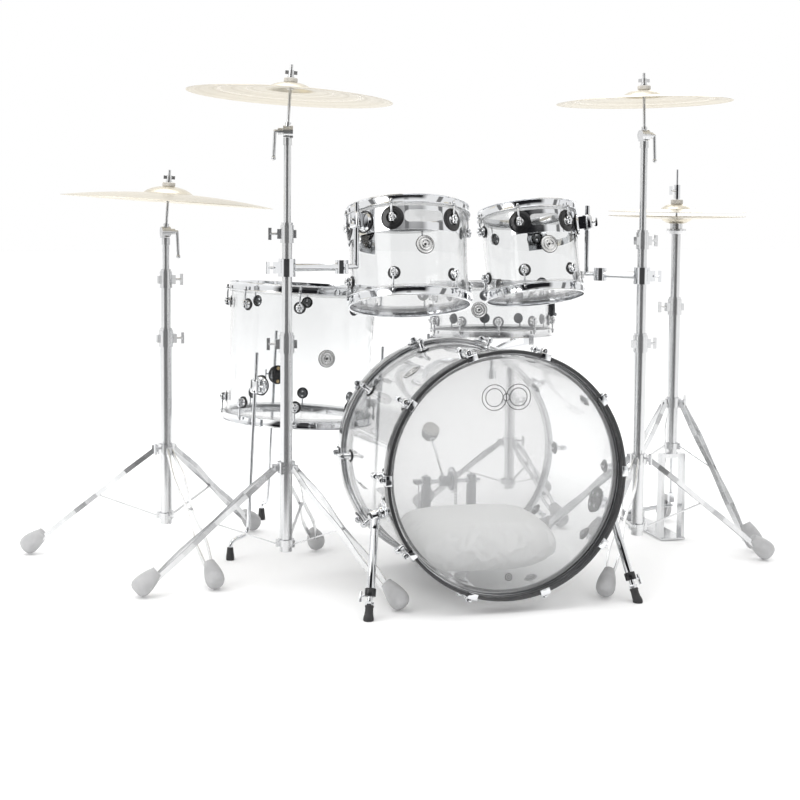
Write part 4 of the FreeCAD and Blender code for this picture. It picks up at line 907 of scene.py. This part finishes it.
def kick_pedal_frame():
    base = Shape(PEDAL_HOME)
    plate = [(x, y + 687) for x, y in rounded_rect(76, 434, 12)]
    base.add(carried(slab(plate, 5, 1.0), at(0, 0, 2.5)), PEDAL_GREY)
    base.add(box_between((-76, AXLE_Y - 18, 0), (76, AXLE_Y + 18, 12), 3), PEDAL_GREY)
    for side in (-1, 1):
        x = side * 64
        for wide, deep, low, high, ease, finish in (
            (12, 11, 10, AXLE_Z + 16, 5, PEDAL_GREY), (12.8, 5, 30, AXLE_Z - 26, 2, BLACK_METAL),
            (6, 11.8, 24, AXLE_Z - 22, 2, GREY_LEVER),
        ):
            post = box_between((x - wide, AXLE_Y - deep, low), (x + wide, AXLE_Y + deep, high), ease)
            base.add(post, finish)
        base.add(bar((x - 12.9, AXLE_Y, AXLE_Z), (x + 12.9, AXLE_Y, AXLE_Z), 11, 0.8, 32), CHROME)
        base.add(turned_bar(3.8, 0, 6, 0.8, 6), CHROME, at(x, AXLE_Y, AXLE_Z + 14))
        ear = box_between((side * 34 - 3.4, HEEL.y - 8, 4), (side * 34 + 3.4, HEEL.y + 12, 34), 2)
        base.add(ear, PEDAL_GREY)
        base.add(bar((side * 37.8, HEEL.y, HEEL.z), (side * 39.6, HEEL.y, HEEL.z), 4.4, 0.5, 6), CHROME)
    base.add(box_between((-36, HEEL.y + 9, 4), (36, HEEL.y + 64, 20), 4), PEDAL_GREY)
    for y in (22, 32, 42, 52):
        base.add(box_between((-28, HEEL.y + y, 19), (28, HEEL.y + y + 4, 21.4), 0.9), BLACK_RUBBER)
    base.add(box_between((-38, 477, 18.6), (-12, AXLE_Y - 10, 25), 2), PEDAL_GREY)
    base.add(box_between((-38, 516, 4), (-12, AXLE_Y - 10, 25), 2), PEDAL_GREY)
    base.add(bar((-25, 532, 24), (-25, 532, 47), 4, 0.8, 18), CHROME)
    base.add(carried(slab(rounded_rect(34, 8, 3.8), 5, 1.6), at(-25, 532, 48)
                           @ UPRIGHT), CHROME)
    coil = [Vector((-84 + 5.2 * math.cos(k * 0.55), AXLE_Y + 3 + 5.2 * math.sin(k * 0.55), 62 + k * 0.46))
            for k in range(188)]
    base.add(tube(coil, 1.3, 8), CHROME)
    base.add(bar((-84, AXLE_Y + 3, 146), (-84, AXLE_Y + 3, AXLE_Z - 4), 1.7, 0.3, 12), CHROME)
    base.add(box_between((-92, AXLE_Y - 6, 44), (-76, AXLE_Y + 12, 60), 3), PEDAL_GREY)
    base.build("pedal_frame_pieces", "kit", "black_metal", "kick_pedal_frame")


def footboard(name, home, body, node, heel, toe, half_heel, half_toe, ribs, extra=()):
    """A pedal board from heel to toe with raised grip ribs and a rounded toe."""
    reach = (toe - heel).length
    slope = (toe - heel).normalized()
    out = Vector((0, slope.z, -slope.y))
    outline = [(-half_heel, 0), (half_heel, 0)]
    outline += [(half_toe * math.cos(math.radians(a)), reach - 8 + 28 * math.sin(math.radians(a)))
                for a in range(0, 181, 15)]
    turn = Matrix((Vector((-1, 0, 0)), slope, out)).transposed()
    pose = Matrix.Translation(heel) @ turn.to_4x4()
    board = Shape(home).add(slab(outline, 6, 1.6, 3), PEDAL_PLATE, pose)
    board.add(bar((-31, heel.y, heel.z), (31, heel.y, heel.z), 6, 0.8, 28), CHROME)
    for k in range(ribs):
        along_board = 34 + (reach - 52) * k / (ribs - 1)
        wide = (half_heel + (half_toe - half_heel) * along_board / reach) * 0.72
        if k % 2:
            wide *= 0.62
        rib = carried(slab(rounded_rect(2 * wide, 5.2, 2.5), 2.2, 0.8), at(0, along_board, 3.4))
        board.add(rib, BLACK_RUBBER, pose)
    board.add_all(extra)
    board.build(name, body, "black_metal", node)


def kick_shaft():
    shaft = Shape(PEDAL_HOME)
    shaft.add(bar((-98, AXLE_Y, AXLE_Z), (88, AXLE_Y, AXLE_Z), 6, 0.8, 6), CHROME)
    gear = slab(gear_outline(SPROCKET, 24), 5, 0.6, 1)
    shaft.add(gear, CHROME, at(9, AXLE_Y, AXLE_Z) @ OUTWARD)
    shaft.add(bar((2.4, AXLE_Y, AXLE_Z), (15.6, AXLE_Y, AXLE_Z), SPROCKET - 8, 2, 40), PEDAL_GREY)
    for angle in spread(5, 20):
        spot = at(9, AXLE_Y, AXLE_Z) @ Matrix.Rotation(math.radians(angle), 4, "X") @ at(0, 0, 17)
        shaft.add(bar((-7, 0, 0), (7, 0, 0), 5, 0.6, 20), BLACK_METAL, spot)
    shaft.add(bar((-26, AXLE_Y, AXLE_Z), (2.6, AXLE_Y, AXLE_Z), 14, 2.2, 36), PEDAL_GREY)
    for k in range(13):
        turn = math.radians(12 * k)
        reach = SPROCKET + 0.8
        middle = Vector((9, AXLE_Y - reach * math.cos(turn), AXLE_Z + reach * math.sin(turn)))
        shaft.add_all(link_at(middle, -turn))
    back = math.radians(50)
    arm = Vector((0, math.sin(back), math.cos(back)))
    strike = Vector((0, -math.cos(back), math.sin(back)))
    root = Vector((-14, AXLE_Y, AXLE_Z))
    middle = root + arm * 175
    shaft.add(bar(root + arm * 8, root + arm * 191, 3.3, 0.8, 20), CHROME)
    shaft.add(bar(root + arm * 9, root + arm * 21, 6.2, 1.2, 6), CHROME)
    shaft.add(bar(middle - arm * 26, middle - arm * 18, 6.6, 1.4, 24), CHROME)
    head = [(0, -20), (15, -20), (20, -17), (23.2, -8), (24, 4), (24, 11), (0, 11)]
    face = [(0, 11.1), (23.6, 11.1), (23.4, 16), (20, 19.6), (0, 20.6)]
    pose = aim(middle, middle + strike * 10)
    shaft.add(turned(head, 2, 3, 48), BEATER_DARK, pose)
    shaft.add(turned(face, 1.4, 3, 48), FELT, pose)
    shaft.add(box_between((-98, AXLE_Y - 8, AXLE_Z - 6), (-78, AXLE_Y + 14, AXLE_Z + 6), 2.5), PEDAL_GREY)
    shaft.build("pedal_shaft_pieces", "kick_beater", "black_metal", "kick_pedal_shaft")


kick_pedal_frame()
CHAIN_Y = AXLE_Y - SPROCKET - 0.8
chain = []
for k in range(9):
    chain += link_at(Vector((9, CHAIN_Y, AXLE_Z - 9 - 8.2 * k)), 0)
chain.append((box_between((2, CHAIN_Y - 3, 117), (16, CHAIN_Y + 3.6, 134), 1.4), CHROME))
footboard("pedal_board", PEDAL_HOME, "kick_footboard", "kick_pedal_footboard", HEEL, TOE, 30, 42, 11, chain)
kick_shaft()

# ---- pillow: inflated cloth ----

PILLOW_VOXEL = 0.006
PILLOW_STRETCH = 0.012
PILLOW_FRAMES = 20


def evaluated_mesh(piece):
    return bpy.data.meshes.new_from_object(piece.evaluated_get(bpy.context.evaluated_depsgraph_get()))


def apply_modifiers(piece):
    bpy.context.view_layer.update()
    result = evaluated_mesh(piece)
    piece.modifiers.clear()
    piece.data = result


def sewn_pillow():
    """A cloth case blown up from a slightly smaller cushion shape."""
    low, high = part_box("bass_drum_pillow")
    low, high = Vector(low), Vector(high)
    middle, size = (low + high) / 2, high - low
    half = size / 2
    work = bmesh.new()
    columns, rows = 22, 18
    grid = {}
    for side in (1, -1):
        for i in range(columns + 1):
            for j in range(rows + 1):
                u, v = 2 * i / columns - 1, 2 * j / rows - 1
                edge = i in (0, columns) or j in (0, rows)
                if edge and side == -1:
                    continue
                swell = ((1 - abs(u) ** 3.2) * (1 - abs(v) ** 3.2)) ** 0.36
                pinch = 1 - 0.06 * (abs(u * v) ** 3)
                x = half.x * 0.95 * u * (1 - 0.05 * v * v) * pinch
                y = half.y * 0.95 * v * (1 - 0.05 * u * u) * pinch
                z = half.z * 0.86 * swell * side
                grid[(side, i, j)] = work.verts.new(middle + Vector((x, y, z)))
    for side in (1, -1):
        for i in range(columns):
            for j in range(rows):
                corner = [grid.get((side, a, b)) or grid[(1, a, b)]
                          for a, b in ((i, j), (i + 1, j), (i + 1, j + 1), (i, j + 1))]
                work.faces.new(corner if side == 1 else corner[::-1])
    bmesh.ops.recalc_face_normals(work, faces=work.faces)
    mesh = bpy.data.meshes.new("sewn_pillow")
    work.to_mesh(mesh)
    work.free()
    piece = linked("sewn_pillow", mesh)
    mesh.materials.append(CLOTH)
    bpy.context.view_layer.objects.active = piece
    remesh = piece.modifiers.new("remesh", "REMESH")
    remesh.mode = "VOXEL"
    remesh.voxel_size = PILLOW_VOXEL
    apply_modifiers(piece)
    start = [v.co.copy() for v in piece.data.vertices]
    cloth = piece.modifiers.new("cloth", "CLOTH")
    cloth.settings.use_pressure = True
    cloth.settings.uniform_pressure_force = 4.0
    cloth.settings.effector_weights.gravity = 0.0
    cloth.settings.quality = 6
    cloth.settings.mass = 0.3
    cloth.settings.shrink_min = -0.04
    cloth.point_cache.frame_start = 1
    cloth.point_cache.frame_end = PILLOW_FRAMES
    scene = bpy.context.scene
    for number in range(1, PILLOW_FRAMES + 1):
        scene.frame_set(number)
    blown = evaluated_mesh(piece)
    scene.frame_set(1)
    piece.modifiers.clear()
    piece.data = blown
    for vertex, was in zip(blown.vertices, start):
        step = vertex.co - was
        if step.length > PILLOW_STRETCH:
            vertex.co = was + step.normalized() * PILLOW_STRETCH
        vertex.co.z = max(vertex.co.z, low.z)
    smooth = piece.modifiers.new("subdivide", "SUBSURF")
    smooth.levels = smooth.render_levels = 1
    apply_modifiers(piece)
    if not piece.data.materials:
        piece.data.materials.append(CLOTH)
    wall = (BASS_RADIUS - WALL - 2) * MM
    for vertex in piece.data.vertices:
        across = Vector((vertex.co.x - BASS.x, vertex.co.z - BASS.z))
        if across.length > wall:
            across = across.normalized() * wall
            vertex.co.x, vertex.co.z = BASS.x + across.x, BASS.z + across.y
    piece.data.shade_smooth()
    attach(piece, "kit")
    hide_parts("bass_drum_pillow")


sewn_pillow()

# ---- hi-hat board and emblem rings ----

HAT_HOME = Matrix.Translation((hat_x, hat_y, 0))
footboard("hihat_board", HAT_HOME, "hihat_pedal", "hihat_footboard", HAT_HEEL, HAT_TOE, 29, 24, 9)

rings = Shape(BASS_HOME)


def flat_ring(radius, width, x, y, finish):
    outline = [(radius - width, BASS_HALF + 0.6), (radius, BASS_HALF + 0.6), (radius, BASS_HALF + 0.95),
               (radius - width, BASS_HALF + 0.95)]
    rings.add(lathe(outline, 72, True), finish, at(x, y, 0))


EMBLEM_X, EMBLEM_Y = 2.0, 182.0
for radius, x in ((31, -30), (31, 30), (22, -30), (22, 30), (9, 0)):
    flat_ring(radius, 1.5, EMBLEM_X + x, EMBLEM_Y, EMBLEM_INK)
flat_ring(9, 1.6, 8, -244, EMBLEM_INK)
flat_ring(4.5, 1.6, 8, -244, EMBLEM_INK)
rings.build("front_head_rings", "kit", "black_metal")

# ---- stage, light and camera ----

CAMERA_FROM_BASS = Vector((-1.1693, -3.5450, 0.6712))
CAMERA_YAW = math.radians(15.018)
CAMERA_PITCH = math.radians(3.622)
CAMERA_ROLL = math.radians(0.478)
CAMERA_LENS = 67.618
CAMERA_SHIFT = (0.0094, -0.1419)
SENSOR = 36.0


def add_camera():
    data = bpy.data.cameras.new("camera")
    data.lens = CAMERA_LENS
    data.sensor_width = SENSOR
    data.shift_x, data.shift_y = CAMERA_SHIFT
    data.clip_end = 100
    camera = linked("camera", data)
    ahead = Vector((math.sin(CAMERA_YAW) * math.cos(CAMERA_PITCH),
                    math.cos(CAMERA_YAW) * math.cos(CAMERA_PITCH), -math.sin(CAMERA_PITCH)))
    level = Vector((math.cos(CAMERA_YAW), -math.sin(CAMERA_YAW), 0))
    up = level.cross(ahead)
    right = level * math.cos(CAMERA_ROLL) + up * math.sin(CAMERA_ROLL)
    top = up * math.cos(CAMERA_ROLL) - level * math.sin(CAMERA_ROLL)
    turn = Matrix((right, top, -ahead)).transposed().to_4x4()
    camera.matrix_world = Matrix.Translation(BASS + CAMERA_FROM_BASS) @ turn
    bpy.context.scene.camera = camera


WINDOW_HALF = math.radians(38)
WINDOW_SOFT = math.radians(6)


def dark_window(nt, x, y):
    """How far a direction or floor point lies in the sector towards the camera: the dark part of the studio in the
    world, and the painted dark reflection patch on the floor.
    """
    toward = Vector((CAMERA_FROM_BASS.x, CAMERA_FROM_BASS.y, 0)).normalized()
    front = nt.math("ADD", nt.math("MULTIPLY", x, toward.x), nt.math("MULTIPLY", y, toward.y))
    side = nt.math("ADD", nt.math("MULTIPLY", x, -toward.y), nt.math("MULTIPLY", y, toward.x))
    angle = nt.math("ABSOLUTE", nt.math("ARCTAN2", side, front))
    return nt.ramp(angle, 1, 0, WINDOW_HALF - WINDOW_SOFT, WINDOW_HALF + WINDOW_SOFT), side, front


WORLD_LIGHT = 1.12


def add_world():
    """White studio; only mirror reflections see its dark side and a few dark stripes."""
    world = bpy.data.worlds.new("studio")
    bpy.context.scene.world = world
    world.use_nodes = True
    tree = world.node_tree
    nt = Nodes(tree)
    back = tree.nodes["Background"]
    direction = nt.add("ShaderNodeTexCoord").outputs["Generated"]
    split = nt.add("ShaderNodeSeparateXYZ")
    nt.link(direction, split.inputs[0])
    x, y, z = split.outputs
    window, side, front = dark_window(nt, x, y)
    low_enough = nt.ramp(z, 1, 0, 0.42, 0.55)
    stripes = nt.math("COSINE", nt.math("MULTIPLY", nt.math("ARCTAN2", side, front), 5.0))
    stripes = nt.math("MULTIPLY", nt.ramp(stripes, 0, 1, 0.86, 0.94), nt.ramp(z, 1, 0, 0.5, 0.6))
    dark = nt.math("MAXIMUM", nt.math("MULTIPLY", window, low_enough), nt.math("MULTIPLY", stripes, 0.8))
    path = nt.add("ShaderNodeLightPath")
    dark = nt.math("MULTIPLY", dark, path.outputs["Is Glossy Ray"])
    nt.link(nt.mix(dark, (1.0, 1.0, 1.0), (0.012, 0.012, 0.014)), back.inputs["Color"])
    nt.link(nt.ramp(path.outputs["Is Diffuse Ray"], 1.0, WORLD_LIGHT, 0.0, 1.0), back.inputs["Strength"])


FLOOR_SIZE = 40.0
FLOOR_WHITE = (0.97, 0.97, 0.97)


def add_floor():
    mesh = bpy.data.meshes.new("floor")
    half = FLOOR_SIZE / 2
    mesh.from_pydata([(-half, -half, 0), (half, -half, 0), (half, half, 0), (-half, half, 0)], [],
                     [(0, 1, 2, 3)])
    floor = linked("floor", mesh)
    mat, shader, nt = material("floor_white", FLOOR_WHITE, 0.9)
    split = nt.add("ShaderNodeSeparateXYZ")
    nt.link(nt.coords(), split.inputs[0])
    x, y, z = split.outputs
    window, side, front = dark_window(nt, x, y)
    # Painted reflection: for glossy rays only, the far floor in the sector towards the camera is painted
    # near-black, a dark patch for the chrome to mirror; camera and diffuse rays still see the pale floor.
    far = nt.ramp(front, 0, 1, 1.1, 1.3)
    path = nt.add("ShaderNodeLightPath")
    dark = nt.math("MULTIPLY", nt.math("MULTIPLY", window, far), path.outputs["Is Glossy Ray"])
    cloud = nt.noise(nt.coords(), 3.0)
    pale = nt.mix(nt.ramp(cloud, 0, 1, 0.3, 0.7), FLOOR_WHITE, (0.955, 0.955, 0.955))
    nt.link(nt.mix(dark, pale, (0.01, 0.01, 0.012)), shader.inputs["Base Color"])
    mesh.materials.append(mat)


def add_lamp(name, place, size, watts):
    data = bpy.data.lights.new(name, "AREA")
    data.shape = "DISK"
    data.size = size
    data.energy = watts
    lamp = linked(name, data)
    aim = (Vector((0, 0, 0.4)) - Vector(place)).to_track_quat("-Z", "Y")
    lamp.matrix_world = Matrix.Translation(place) @ aim.to_matrix().to_4x4()


add_camera()
add_world()
add_floor()
add_lamp("top_light", (-0.8, 0.2, 4.2), 4.5, 95)
add_lamp("side_light", (-4.2, -1.8, 2.6), 2.4, 34)
add_lamp("back_light", (3.2, 3.6, 3.0), 2.6, 34)
bpy.context.scene.view_settings.view_transform = "Standard"
